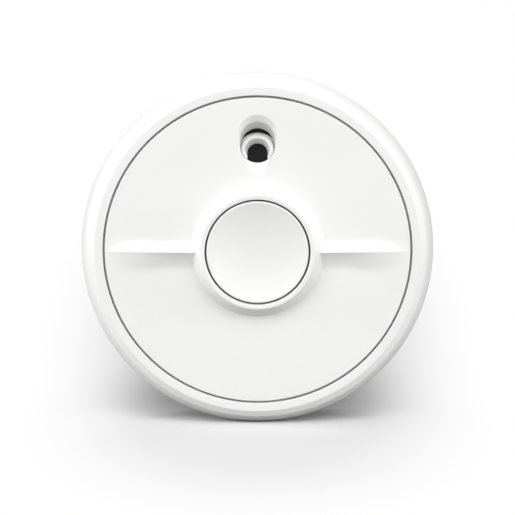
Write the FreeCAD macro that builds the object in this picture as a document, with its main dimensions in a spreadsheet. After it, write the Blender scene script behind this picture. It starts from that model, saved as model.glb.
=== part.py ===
"""Battery smoke alarm: a round ceiling or wall alarm with a twist-on mounting base.

The alarm is drawn lying on its back: the wall is the plane z = 0, z rises towards the room, y is the
top of the face and x its right. Every finished piece is then stood upright, with its face to -Y.
"""

import FreeCAD
import Part
import Sketcher
import math
import os
import types

Vector = FreeCAD.Vector

SIZES = {
    # Levels and radii of the outer form
    "face_level": 32.0,  # front face of the cover and of the shell's rim, above the wall
    "shell_radius": 64.5,  # widest part of the alarm
    "shell_wall": 2.0,
    "shell_draft": 0.3,  # how much narrower the shell is at its rear edge
    "rim_inset": 5.1,  # from the widest part to the outer edge of the shell's flat front rim
    "rim_width": 3.1,
    "bevel_width": 2.2,
    "bevel_depth": 1.3,
    "shoulder_depth": 8.0,  # from the face to the widest part
    "shoulder_arc": 12.0,
    "skirt_overlap": 1.0,  # the shell's rear edge hangs this far over the vents
    "shadow_gap": 0.6,  # open line round the cover and round the button
    "edge_round": 0.25,
    "ledge_width": 2.8,
    "ledge_thickness": 1.6,
    # Front cover
    "cover_thickness": 2.2,
    "ring_width": 1.7,  # flat top of the ring round the button
    "ring_height": 6.0,
    "ring_draft": 24.0,  # degrees
    "ring_foot_round": 2.0,
    "ring_edge_round": 0.5,
    "ridge_height": 4.3,
    "ridge_end_height": 0.2,
    "ridge_upper_width": 5.4,
    "ridge_lower_width": 8.0,
    "ridge_offset": 0.4,  # the crest runs this far below the middle
    "ridge_sink": 0.2,
    "ridge_root": 0.9,  # how far a ridge starts inside the ring's edge
    "ridge_margin": 0.7,  # from the ridge's outer end to the cover's edge
    "well_depth": 8.9,  # the button's well, from the top of the ring
    "well_wall": 1.6,
    "hook_count": 6,
    "hook_angle": 8.6,  # degrees of arc of a snap hook
    "hook_thickness": 1.5,
    "hook_barb": 1.2,
    "hook_barb_height": 1.2,
    "fit_gap": 0.3,
    "touch_gap": 0.1,
    # Horn scoop in the cover
    "scoop_edge": 6.2,  # from the cover's edge to the upper lip
    "scoop_clear": 3.63,  # from the foot of the ring to the lower tip
    "scoop_flank": 30.0,  # degrees
    "lip_tilt": 4.0,  # degrees that the lip's lower edge leans inwards from the lower tip
    "spout_tilt": 25.0,  # degrees that the scoop's floor leans inwards from the lower tip
    # The shares are of the scoop's length, and are measured from its lower tip
    "mouth_half_share": 0.3139,
    "mouth_corner_share": 0.1435,
    "mouth_side_share": 0.2511,
    "lip_half_share": 0.287,
    "lip_top_share": 0.8857,
    "lip_tip_share": 0.0157,
    "lip_corner_share": 0.1345,
    "lip_side_share": 0.2242,
    "floor_half_share": 0.278,
    "floor_top_share": 0.8318,
    "floor_tip_share": 0.0359,
    "floor_corner_share": 0.1166,
    "floor_side_share": 0.2242,
    "hole_low_share": 0.509,  # middle of the hole's round lower end
    "spout_place_share": 0.4574,
    "spout_radius_share": 0.2668,
    "spout_mouth_share": 0.2018,
    "spout_bore_share": 0.1659,
    "spout_foot_share": 0.3677,
    "bore_drop_share": 0.004,  # how far the bore's round top lies below the spout's axis
    "cup_depth": 8.0,
    "cup_wall": 0.8,
    "spout_flare": 3.2,
    "spout_foot_thickness": 1.2,
    "gauze_thickness": 0.4,
    "gauze_seat": 0.45,
    # Test button
    "button_radius": 18.6,
    "dish_depth": 1.9,
    "dish_margin": 0.5,
    "button_wall": 1.6,
    "skirt_depth": 4.8,
    "stem_radius": 2.4,
    "button_travel": 1.0,
    "leg_count": 3,
    "leg_circle": 12.0,
    "leg_width": 4.0,
    "leg_thickness": 1.4,
    "leg_barb": 0.9,
    "leg_barb_height": 1.1,
    # Mounting base
    "base_lip": 0.5,  # how far the base stands out beyond the vents
    "base_height": 7.4,
    "base_plate": 2.2,
    "base_rim": 1.8,
    "head_gap": 0.6,  # between the base's rim and the alarm
    "slot_spacing": 60.0,
    "slot_length": 12.0,
    "slot_radius": 2.3,
    "boss_border": 2.6,
    "boss_height": 1.0,
    "stiffener_radius": 20.0,
    "stiffener_width": 1.2,
    "stiffener_height": 1.4,
    "overlap": 0.2,  # how far one feature reaches into the next
    # Bayonet between base and alarm
    "bayonet_count": 3,
    "bayonet_start": 54.0,  # degrees
    "bayonet_angle": 12.0,  # degrees of arc of a hook and of a tab
    "twist_angle": 15.0,  # degrees from locked to free
    "collar_inset": 14.0,  # from the vents' outside to the collar's
    "collar_wall": 1.8,
    "tab_reach": 3.2,
    "tab_thickness": 1.6,
    "tab_level": 3.9,
    "lip_thickness": 1.4,
    "post_thickness": 2.0,
    "stop_angle": 2.0,  # degrees of arc of the end stop
    "stop_gap": 0.15,  # degrees
    # Rear housing
    "floor_thickness": 2.0,
    "vent_inset": 2.2,  # from the shell's inside to the vents' outside
    "vent_height": 6.5,
    "rib_depth": 2.6,
    "rib_width": 1.3,
    "rib_count": 60,
    "flange_thickness": 2.0,
    "flange_width": 4.9,
    "screw_angle": 30.0,  # degrees from +x to the first screw
    "screw_well_wall": 0.9,
    "screw_head": 2.3,
    "screw_head_height": 1.6,
    "screw_shank": 1.1,
    "screw_length": 8.0,
    "screw_web": 2.5,
    "post_radius": 2.7,
    # Circuit board
    "standoff_height": 3.0,
    "standoff_radius": 2.6,
    "standoff_inset": 5.0,  # from the board's edge
    "standoff_angle": 15.0,  # degrees
    "board_inset": 4.5,  # from the shell's ledge
    "board_thickness": 1.6,
    "board_screw_head": 1.9,
    "board_screw_head_height": 1.2,
    "board_screw_shank": 0.9,
    "board_screw_length": 4.0,
    # Battery
    "battery_radius": 8.5,
    "battery_length": 34.5,
    "battery_across_share": 0.5306,  # of the board's radius
    "battery_middle_share": 0.3878,  # of the board's radius
    "battery_lift": 0.7,
    "battery_room": 1.0,
    "nub_radius": 3.2,
    "nub_height": 0.8,
    "cradle_thickness": 1.8,
    "cradle_height": 4.4,
    "cradle_half_width": 8.0,
    "cradle_spacing": 17.0,
    "strip_width": 4.0,
    "strip_thickness": 0.3,
    "strip_foot": 3.0,
    "pad_width": 8.0,
    "pad_length": 20.0,
    # Optical smoke chamber
    "chamber_offset_share": 0.449,  # of the board's radius
    "chamber_share": 0.3755,  # of the board's radius
    "tray_thickness": 1.8,
    "chamber_height": 8.6,
    "cap_thickness": 1.6,
    "vane_count": 24,
    "vane_length": 3.4,
    "vane_thickness": 0.9,
    "vane_turn": 40.0,  # degrees
    "vane_inset": 3.2,  # from the chamber's edge to the middle of a vane
    "screen_inset": 0.5,
    "screen_thickness": 0.3,
    "window_count": 36,
    "window_width": 2.0,
    "window_margin": 1.0,
    "lens_radius": 1.5,
    "lens_length": 2.4,
    "holder_side": 4.4,
    "holder_inset": 5.2,  # from the middle of a vane to the middle of a lens holder
    "emitter_angle": 20.0,  # degrees
    "sensor_angle": 150.0,  # degrees
    # Horn
    "horn_radius": 17.0,
    "horn_wall": 1.4,
    "horn_height": 8.0,
    "horn_offset": 4.07,  # from the middle of the horn to its throat
    "horn_throat": 12.0,
    "piezo_radius": 13.5,
    "piezo_thickness": 0.3,
    "piezo_level": 3.2,
    "ceramic_radius": 9.5,
    "ceramic_thickness": 0.25,
    # Switches
    "switch_side": 6.2,
    "switch_height": 3.5,
    "plunger_radius": 1.7,
    "plunger_rise": 1.9,
    "plunger_depth": 1.1,
    "pin_share": 0.6939,  # of the board's radius
    "pin_angle": 140.0,  # degrees from +x, with the alarm locked
    "pin_radius": 1.5,
    "pin_tip_level": 5.1,
    "pin_travel": 1.8,
    "pin_collar_radius": 2.6,
    "pin_collar_height": 0.8,
    "pin_rise": 2.8,  # how far the pin reaches into its switch
    "power_switch_side": 7.0,
    "power_switch_height": 4.6,
    "ramp_width": 5.0,
    "ramp_start": 6.2,
    # Parts on the board
    "chip_side": 7.0,
    "chip_height": 1.2,
    "chip_lift": 0.1,
    "chip_leg_length": 1.2,
    "chip_leg_width": 0.35,
    "chip_leg_height": 0.5,
    "chip_leg_pitch": 0.85,
    "chip_leg_rows": 8,
    "coil_flange": 4.2,
    "coil_flange_height": 1.0,
    "coil_radius": 3.4,
    "coil_height": 8.0,
    "can_foot": 6.6,
    "can_foot_height": 0.8,
    "can_radius": 3.1,
    "can_height": 7.2,
    "resistor_length": 2.0,
    "resistor_width": 1.25,
    "resistor_height": 0.6,
    "lamp_lens": 1.3,
    "lamp_base_height": 0.4,
    "lamp_height": 0.8,
}

# Where parts stand on the board, as shares of its radius
CHIP_PLACE = (-0.347, 0.102)
COIL_PLACE = (0.551, 0.204)
LAMP_PLACE = (0.163, -0.061)
CAN_PLACES = ((0.714, 0.429), (0.878, 0.0))
RESISTOR_PLACES = (
    (-0.184, 0.122),
    (-0.184, 0.184),
    (0.184, 0.102),
    (0.245, 0.163),
    (0.204, -0.408),
    (0.245, -0.694),
    (0.041, -0.816),
    (0.490, 0.449),
)
UPRIGHT_RESISTOR_PLACES = (
    (-0.265, 0.245),
    (-0.490, 0.163),
    (-0.490, 0.061),
    (-0.571, 0.0),
    (-0.816, 0.204),
    (-0.857, 0.041),
    (0.367, 0.082),
    (0.204, -0.163),
    (0.245, -0.286),
    (0.122, -0.571),
    (0.653, 0.102),
    (0.755, 0.122),
    (0.531, 0.571),
)


class Size:
    """A value together with the sheet formula that gives it."""

    def __init__(self, value, text):
        self.value = value
        self.text = text

    def __add__(self, other):
        other = as_size(other)
        return Size(self.value + other.value, "(%s + %s)" % (self.text, other.text))

    def __sub__(self, other):
        other = as_size(other)
        return Size(self.value - other.value, "(%s - %s)" % (self.text, other.text))

    def __mul__(self, other):
        other = as_size(other)
        return Size(self.value * other.value, "(%s * %s)" % (self.text, other.text))

    def __truediv__(self, other):
        other = as_size(other)
        return Size(self.value / other.value, "(%s / %s)" % (self.text, other.text))

    def __neg__(self):
        return Size(-self.value, "(0 - %s)" % self.text)

    def __radd__(self, other):
        return as_size(other) + self

    def __rsub__(self, other):
        return as_size(other) - self

    def __rmul__(self, other):
        return as_size(other) * self


def as_size(number):
    """Turns a plain number into a size, and leaves a size as it is."""
    if isinstance(number, Size):
        return number
    return Size(float(number), repr(float(number)))


def sine(angle):
    angle = as_size(angle)
    return Size(math.sin(math.radians(angle.value)), "sin(%s)" % angle.text)


def cosine(angle):
    angle = as_size(angle)
    return Size(math.cos(math.radians(angle.value)), "cos(%s)" % angle.text)


def tangent(angle):
    angle = as_size(angle)
    return Size(math.tan(math.radians(angle.value)), "tan(%s)" % angle.text)


def root(number):
    number = as_size(number)
    return Size(math.sqrt(number.value), "sqrt(%s)" % number.text)


doc = FreeCAD.newDocument("smoke_alarm")
nodes = []


def make_sheet():
    """Writes the driving sizes to the sheet and returns them by name."""
    sheet = doc.addObject("Spreadsheet::Sheet", "sizes")
    found = types.SimpleNamespace()
    for row, (name, value) in enumerate(SIZES.items(), 1):
        sheet.set("A%d" % row, name)
        sheet.set("B%d" % row, str(value))
        sheet.setAlias("B%d" % row, name)
        setattr(found, name, Size(float(value), "sizes." + name))
    doc.recompute()
    return found


s = make_sheet()


def bind(thing, name, size):
    """Ties one property of a feature to the sheet."""
    thing.setExpression(name, as_size(size).text)


def bind_place(thing, name, at):
    """Ties the three coordinates of a placement to the sheet."""
    for letter, size in zip("xyz", at):
        bind(thing, "%s.Base.%s" % (name, letter), size)


# Sketches and the features made from them


def new_body(name):
    return doc.addObject("PartDesign::Body", name)


def origin_feature(body, role):
    return [f for f in body.Origin.OriginFeatures if f.Role == role][0]


def new_sketch(body, name, plane, at=(0, 0, 0), turn_axis=Vector(0, 0, 1), turn=0):
    """A sketch on one of the body's own planes, moved and turned in that plane's frame."""
    made = body.newObject("Sketcher::SketchObject", name)
    made.AttachmentSupport = [(origin_feature(body, plane), "")]
    made.MapMode = "FlatFace"
    start = Vector(*[as_size(size).value for size in at])
    made.AttachmentOffset = FreeCAD.Placement(start, FreeCAD.Rotation(turn_axis, as_size(turn).value))
    bind_place(made, "AttachmentOffset", at)
    if as_size(turn).value:
        bind(made, "AttachmentOffset.Rotation.Angle", turn)
    return made


def constrain(sketch, *facts):
    """Adds one dimension whose value follows the sheet."""
    size = as_size(facts[-1])
    number = sketch.addConstraint(Sketcher.Constraint(*facts[:-1], size.value))
    sketch.setExpression("Constraints[%d]" % number, size.text)


def arc_between(start, end, radius):
    """The arc from start to end: its centre is on the left of the way if the radius is positive."""
    chord = end - start
    half = chord.Length / 2
    rise = math.sqrt(max(radius * radius - half * half, 0.0))
    left = Vector(-chord.y, chord.x, 0).normalize()
    centre = (start + end) * 0.5 + left * math.copysign(rise, radius)
    circle = Part.Circle(centre, Vector(0, 0, 1), abs(radius))
    first, last = (start, end) if radius > 0 else (end, start)
    return Part.ArcOfCircle(circle, circle.parameter(first), circle.parameter(last))


def outline(sketch, corners):
    """A closed outline. A corner is (x, y), or (x, y, radius) where an arc leads to the next corner."""
    first = sketch.GeometryCount
    count = len(corners)
    places = [Vector(as_size(c[0]).value, as_size(c[1]).value, 0) for c in corners]
    starts = []
    for i, corner in enumerate(corners):
        start, end = places[i], places[(i + 1) % count]
        if len(corner) == 3:
            radius = as_size(corner[2])
            sketch.addGeometry(arc_between(start, end, radius.value), False)
            starts.append(1 if radius.value > 0 else 2)
        else:
            sketch.addGeometry(Part.LineSegment(start, end), False)
            starts.append(1)
    for i in range(count):
        after = (i + 1) % count
        joint = (first + i, 3 - starts[i], first + after, starts[after])
        sketch.addConstraint(Sketcher.Constraint("Coincident", *joint))
    for i, corner in enumerate(corners):
        constrain(sketch, "DistanceX", -1, 1, first + i, starts[i], corner[0])
        constrain(sketch, "DistanceY", -1, 1, first + i, starts[i], corner[1])
        if len(corner) == 3:
            constrain_bend(sketch, first + i, corner, corners[(i + 1) % count])


def constrain_bend(sketch, number, start, end):
    """Fixes an arc between two fixed ends: a half circle by its centre, any other by its radius."""
    radius = as_size(start[2])
    across = as_size(end[0]) - start[0]
    along = as_size(end[1]) - start[1]
    if math.hypot(across.value, along.value) < abs(radius.value) * 1.999:
        constrain(sketch, "Radius", number, radius if radius.value > 0 else -radius)
    elif abs(across.value) > abs(along.value):
        constrain(sketch, "DistanceY", -1, 1, number, 3, start[1] + along / 2)
    else:
        constrain(sketch, "DistanceX", -1, 1, number, 3, start[0] + across / 2)


def circle(sketch, radius, x=0, y=0):
    x, y, radius = as_size(x), as_size(y), as_size(radius)
    middle = Vector(x.value, y.value, 0)
    number = sketch.addGeometry(Part.Circle(middle, Vector(0, 0, 1), radius.value), False)
    constrain(sketch, "DistanceX", -1, 1, number, 3, x)
    constrain(sketch, "DistanceY", -1, 1, number, 3, y)
    constrain(sketch, "Radius", number, radius)


def rectangle(sketch, left, right, low, high):
    outline(sketch, [(left, low), (right, low), (right, high), (left, high)])


def stadium(sketch, x, y, reach, radius):
    """A round-ended slot along x: reach is from its middle to the middle of an end."""
    outline(
        sketch,
        [
            (x - reach, y - radius),
            (x + reach, y - radius, radius),
            (x + reach, y + radius),
            (x - reach, y + radius, radius),
        ],
    )


def revolve(body, name, corners, angle=360, start=0):
    """Turns a profile of (radius, level) corners about the z axis, through an angle from a start angle."""
    turned = new_sketch(body, name + "_profile", "XZ_Plane", turn_axis=Vector(0, 1, 0), turn=start)
    outline(turned, corners)
    made = body.newObject("PartDesign::Revolution", name)
    made.Profile = turned
    made.ReferenceAxis = (turned, ["V_Axis"])
    if as_size(angle).value == 360:
        made.Angle = 360
    else:
        bind(made, "Angle", angle)
    doc.recompute()
    return made


def pad(body, name, sketch, length):
    made = body.newObject("PartDesign::Pad", name)
    made.Profile = sketch
    bind(made, "Length", length)
    doc.recompute()
    return made


def pocket(body, name, sketch, length):
    """Cuts a sketch downwards, against its normal."""
    before = body.Shape.Volume
    made = body.newObject("PartDesign::Pocket", name)
    made.Profile = sketch
    bind(made, "Length", length)
    doc.recompute()
    require_cut(body, name, before)
    return made


def require_cut(body, name, before):
    if not body.Shape.Volume < before - 1e-6:
        raise ValueError("%s cuts nothing from %s" % (name, body.Name))


def loft(body, name, sketches, cut=False):
    """A loft through sketches with straight lines between them."""
    before = body.Shape.Volume if cut else 0
    kind = "PartDesign::SubtractiveLoft" if cut else "PartDesign::AdditiveLoft"
    made = body.newObject(kind, name)
    made.Profile = sketches[0]
    made.Sections = sketches[1:]
    made.Ruled = True
    doc.recompute()
    if cut:
        require_cut(body, name, before)
    return made


def ring_pattern(body, name, features, count):
    """Repeats features evenly round the z axis."""
    made = body.newObject("PartDesign::PolarPattern", name)
    made.Originals = features
    made.Axis = (origin_feature(body, "Z_Axis"), [""])
    made.Angle = 360
    bind(made, "Occurrences", count)
    body.Tip = made
    doc.recompute()
    return made


def mirror(body, name, features, plane):
    made = body.newObject("PartDesign::Mirrored", name)
    made.Originals = features
    made.MirrorPlane = (origin_feature(body, plane), [""])
    body.Tip = made
    doc.recompute()
    return made


def round_rings(body, name, radius, rings):
    """Rounds the circular edges at the given (radius, level) places."""
    base = body.Tip
    names = []
    for number, edge in enumerate(base.Shape.Edges, 1):
        curve = edge.Curve
        if not isinstance(curve, Part.Circle) or math.hypot(curve.Center.x, curve.Center.y) > 1e-4:
            continue
        for ring, level in rings:
            if abs(curve.Radius - ring.value) < 1e-4 and abs(curve.Center.z - level.value) < 1e-4:
                names.append("Edge%d" % number)
    if not names:
        raise ValueError("%s finds no edge" % name)
    made = body.newObject("PartDesign::Fillet", name)
    made.Base = (base, names)
    bind(made, "Radius", radius)
    doc.recompute()
    return made


# Primitives for the small pieces


def box(name, size, at, turn=0):
    """A box whose bottom face has its middle at the given place, turned about z."""
    made = doc.addObject("Part::Box", name)
    for side, length in zip(("Length", "Width", "Height"), size):
        bind(made, side, length)
    half_x, half_y = size[0] * 0.5, size[1] * 0.5
    turn = as_size(turn)
    if turn.value:
        made.Placement.Rotation = FreeCAD.Rotation(Vector(0, 0, 1), turn.value)
        bind(made, "Placement.Rotation.Angle", turn)
    corner_x = at[0] - half_x * cosine(turn) + half_y * sine(turn)
    corner_y = at[1] - half_x * sine(turn) - half_y * cosine(turn)
    bind_place(made, "Placement", (corner_x, corner_y, at[2]))
    return made


def cylinder(name, radius, height, at, axis=Vector(0, 0, 1)):
    """A cylinder that starts at the given place and runs along the axis."""
    made = doc.addObject("Part::Cylinder", name)
    bind(made, "Radius", radius)
    bind(made, "Height", height)
    made.Placement.Rotation = FreeCAD.Rotation(Vector(0, 0, 1), axis)
    bind_place(made, "Placement", at)
    return made


def sphere(name, radius, at):
    made = doc.addObject("Part::Sphere", name)
    bind(made, "Radius", radius)
    bind_place(made, "Placement", at)
    return made


def fuse(name, pieces):
    made = doc.addObject("Part::MultiFuse", name)
    made.Shapes = pieces
    return made


def cut(name, base, tools):
    made = doc.addObject("Part::Cut", name)
    made.Base = base
    made.Tool = tools[0] if len(tools) == 1 else fuse(name + "_tools", tools)
    return made


def group(name, pieces):
    """Separate solids that share one node."""
    made = doc.addObject("Part::Compound", name)
    made.Links = pieces
    return made


def around(angle, distance, middle_x=0, middle_y=0):
    """The x and y of a place at a distance from a middle, in the direction of an angle."""
    return middle_x + distance * cosine(angle), middle_y + distance * sine(angle)


upright = FreeCAD.Placement(Vector(0, 0, 0), FreeCAD.Rotation(Vector(1, 0, 0), 90))


def node(label, made, at=None):
    """Names a finished piece and stands it upright, with its face to -Y and its axis at a place."""
    if made.isDerivedFrom("Part::Primitive"):
        made = group(label + "_piece", [made])
    made.Label = label
    made.Placement = upright
    if at:
        bind(made, "Placement.Base.x", at[0])
        bind(made, "Placement.Base.y", -as_size(at[2]))
        bind(made, "Placement.Base.z", at[1])
    nodes.append(made)


# Radii and places that several pieces share

rim_radius = s.shell_radius - s.rim_inset
opening_radius = rim_radius - s.rim_width
cover_radius = opening_radius - s.shadow_gap
ledge_inner = opening_radius - s.ledge_width
button_bore = s.button_radius + s.shadow_gap
ring_radius = button_bore + s.ring_width
ring_foot = ring_radius + s.ring_height * tangent(s.ring_draft)
rear_inner = s.shell_radius - s.shell_draft - s.shell_wall
vent_radius = rear_inner - s.vent_inset
base_radius = vent_radius + s.base_lip
collar_radius = vent_radius - s.collar_inset
screw_circle = ledge_inner + s.post_radius
board_radius = ledge_inner - s.board_inset
standoff_circle = board_radius - s.standoff_inset
battery_across = board_radius * s.battery_across_share
battery_middle = board_radius * s.battery_middle_share
chamber_offset = board_radius * s.chamber_offset_share
chamber_radius = board_radius * s.chamber_share
vane_circle = chamber_radius - s.vane_inset
pin_circle = board_radius * s.pin_share
pin_x, pin_y = around(s.pin_angle, pin_circle)
scoop_top = cover_radius - s.scoop_edge
scoop_tip = ring_foot + s.scoop_clear
scoop_length = scoop_top - scoop_tip
hole_half = scoop_length * s.floor_half_share
hole_low = scoop_length * s.hole_low_share
spout_place = scoop_length * s.spout_place_share
spout_radius = scoop_length * s.spout_radius_share
spout_mouth = scoop_length * s.spout_mouth_share
spout_bore = scoop_length * s.spout_bore_share

# Levels above the wall that several pieces share

ring_top = s.face_level + s.ring_height
ledge_top = s.face_level - s.cover_thickness
ledge_bottom = ledge_top - s.ledge_thickness
well_top = ring_top - s.well_depth
well_bottom = well_top - s.well_wall
housing_bottom = s.base_height + s.head_gap
floor_top = housing_bottom + s.floor_thickness
vent_top = floor_top + s.vent_height
flange_top = vent_top + s.flange_thickness
shell_rear = vent_top - s.skirt_overlap
board_bottom = floor_top + s.standoff_height
board_top = board_bottom + s.board_thickness
battery_level = floor_top + s.battery_lift + s.battery_radius
screw_seat = flange_top - s.screw_web
horn_top = board_top + s.horn_height
cup_bottom = s.face_level - s.cup_depth
stem_bottom = board_top + s.switch_height + s.plunger_rise + s.touch_gap


# The housing


def build_mounting_base():
    base = new_body("mounting_base")
    inner = base_radius - s.base_rim
    dish = [
        (0, 0),
        (base_radius, 0),
        (base_radius, s.base_height),
        (inner, s.base_height),
        (inner, s.base_plate),
        (0, s.base_plate),
    ]
    revolve(base, "dish", dish)
    low = s.base_plate - s.overlap
    ring_inner = collar_radius - s.collar_wall
    ring_top_level = s.tab_level - s.touch_gap
    stiff_inner = s.stiffener_radius - s.stiffener_width
    stiff_top = s.base_plate + s.stiffener_height
    for name, near, far, top in (
        ("rest_ring", ring_inner, collar_radius, ring_top_level),
        ("stiffener", stiff_inner, s.stiffener_radius, stiff_top),
    ):
        revolve(base, name, [(near, low), (far, low), (far, top), (near, top)])
    reach = s.slot_length / 2 - s.slot_radius
    bosses = new_sketch(base, "screw_bosses", "XY_Plane", (0, 0, low))
    slots = new_sketch(base, "screw_slots", "XY_Plane", (0, 0, s.base_plate + s.boss_height))
    for side in (-1, 1):
        stadium(bosses, side * s.slot_spacing / 2, as_size(0), reach, s.slot_radius + s.boss_border)
        stadium(slots, side * s.slot_spacing / 2, as_size(0), reach, s.slot_radius)
    pad(base, "bosses", bosses, s.boss_height + s.overlap)
    pocket(base, "slots", slots, s.base_plate + s.boss_height + s.overlap)
    build_bayonet_hooks(base, low)
    build_switch_ramp(base, low)
    return base


def build_bayonet_hooks(base, low):
    """Three hooks over the alarm's tabs, each closed by a stop at the end that locks."""
    post = collar_radius + s.tab_reach + s.fit_gap
    lip = collar_radius + s.fit_gap
    lip_bottom = s.tab_level + s.tab_thickness + s.touch_gap
    lip_top = lip_bottom + s.lip_thickness
    outer = post + s.post_thickness
    hook = [
        (post, low),
        (outer, low),
        (outer, lip_top),
        (lip, lip_top),
        (lip, lip_bottom),
        (post, lip_bottom),
    ]
    hooks = revolve(base, "hook", hook, s.bayonet_angle, s.bayonet_start)
    stop = [(lip, low), (outer, low), (outer, lip_top), (lip, lip_top)]
    start = s.bayonet_start - s.stop_angle
    stops = revolve(base, "stop", stop, s.stop_angle - s.stop_gap, start)
    ring_pattern(base, "bayonet", [hooks, stops], s.bayonet_count)


def build_switch_ramp(base, low):
    """A wedge that lifts the power pin by its travel as the alarm is twisted home."""
    middle = s.pin_angle + s.twist_angle / 2
    near = pin_circle - s.ramp_width / 2
    side = new_sketch(
        base,
        "switch_ramp_profile",
        "XZ_Plane",
        (near * cosine(middle), 0, -near * sine(middle)),
        Vector(0, 1, 0),
        middle + 90,
    )
    half = pin_circle * sine(s.twist_angle / 2)
    top = s.pin_tip_level - s.touch_gap
    slope = s.pin_travel / (half * 2)
    end = top - (half + s.ramp_start) * slope
    start = s.ramp_start
    outline(side, [(-start, low), (start, low), (start, end), (-half, top), (-start, top)])
    pad(base, "switch_ramp", side, s.ramp_width)


def build_rear_housing():
    """The alarm's back: a floor with the board's seats, a bayonet collar and a ring of open vents."""
    housing = new_body("rear_housing")
    disc = [(0, housing_bottom), (vent_radius, housing_bottom), (vent_radius, floor_top), (0, floor_top)]
    revolve(housing, "floor", disc)
    collar_inner = collar_radius - s.collar_wall
    high = housing_bottom + s.overlap
    low = s.tab_level
    collar = [(collar_inner, low), (collar_radius, low), (collar_radius, high), (collar_inner, high)]
    revolve(housing, "collar", collar)
    tab_root = collar_radius - s.overlap
    tab_outer = collar_radius + s.tab_reach
    tab_top = s.tab_level + s.tab_thickness
    tab = [(tab_root, s.tab_level), (tab_outer, s.tab_level), (tab_outer, tab_top), (tab_root, tab_top)]
    tabs = revolve(housing, "tab", tab, s.bayonet_angle, s.bayonet_start)
    ring_pattern(housing, "tabs", [tabs], s.bayonet_count)
    build_vents(housing)
    build_screw_wells(housing)
    build_standoffs(housing)
    build_battery_cradle(housing)
    hole = new_sketch(housing, "pin_hole", "XY_Plane", (0, 0, floor_top))
    circle(hole, s.pin_radius + s.touch_gap, pin_x, pin_y)
    pocket(housing, "pin_guide", hole, s.floor_thickness + s.overlap)
    return housing


def build_vents(housing):
    """Radial ribs between floor and flange, open to the smoke all round."""
    rib_sketch = new_sketch(housing, "rib_outline", "XY_Plane", (0, 0, floor_top - s.overlap))
    near = vent_radius - s.rib_depth
    rectangle(rib_sketch, near, vent_radius, -s.rib_width / 2, s.rib_width / 2)
    rib = pad(housing, "rib", rib_sketch, s.vent_height + s.overlap * 2)
    ring_pattern(housing, "ribs", [rib], s.rib_count)
    outer = rear_inner - s.fit_gap
    inner = outer - s.flange_width
    flange = [(inner, vent_top), (outer, vent_top), (outer, flange_top), (inner, flange_top)]
    revolve(housing, "flange", flange)


def build_screw_wells(housing):
    """Pillars up to the flange, each with a deep well for a screw's head from behind."""
    x, y = around(s.screw_angle, screw_circle)
    well = s.screw_head + s.fit_gap
    pillar_sketch = new_sketch(housing, "pillar_outline", "XY_Plane", (0, 0, housing_bottom))
    circle(pillar_sketch, well + s.screw_well_wall, x, y)
    pillar = pad(housing, "pillar", pillar_sketch, flange_top - housing_bottom)
    ring_pattern(housing, "pillars", [pillar], 3)
    well_sketch = new_sketch(housing, "well_outline", "XY_Plane", (0, 0, screw_seat))
    circle(well_sketch, well, x, y)
    hole = pocket(housing, "well", well_sketch, screw_seat - housing_bottom + s.overlap)
    ring_pattern(housing, "wells", [hole], 3)
    shank_sketch = new_sketch(housing, "shank_outline", "XY_Plane", (0, 0, flange_top))
    circle(shank_sketch, s.screw_shank + s.touch_gap, x, y)
    shank = pocket(housing, "shank_hole", shank_sketch, s.screw_web + s.overlap)
    ring_pattern(housing, "shank_holes", [shank], 3)


def build_standoffs(housing):
    """Three hollow studs that carry the board."""
    x, y = around(s.standoff_angle, standoff_circle)
    stud_sketch = new_sketch(housing, "stud_outline", "XY_Plane", (0, 0, floor_top - s.overlap))
    circle(stud_sketch, s.standoff_radius, x, y)
    stud = pad(housing, "stud", stud_sketch, s.standoff_height + s.overlap)
    ring_pattern(housing, "studs", [stud], 3)
    bore_sketch = new_sketch(housing, "bore_outline", "XY_Plane", (0, 0, board_bottom))
    circle(bore_sketch, s.board_screw_shank + s.touch_gap / 2, x, y)
    bore = pocket(housing, "bore", bore_sketch, s.board_screw_length - s.board_thickness + s.touch_gap)
    ring_pattern(housing, "bores", [bore], 3)


def build_battery_cradle(housing):
    """Two saddles that hold the cell by its lower half."""
    top = floor_top + s.cradle_height
    rise = battery_level - top
    half = root(s.battery_radius * s.battery_radius - rise * rise)
    left, right = battery_across - s.cradle_half_width, battery_across + s.cradle_half_width
    for name, side in (("upper_saddle", 1), ("lower_saddle", -1)):
        start = -battery_middle + side * s.cradle_spacing / 2 + s.cradle_thickness / 2
        saddle = new_sketch(housing, name + "_profile", "XZ_Plane", (0, 0, -start))
        outline(
            saddle,
            [
                (left, floor_top - s.overlap),
                (right, floor_top - s.overlap),
                (right, top),
                (battery_across + half, top, -s.battery_radius),
                (battery_across - half, top),
                (left, top),
            ],
        )
        pad(housing, name, saddle, s.cradle_thickness)


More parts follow.
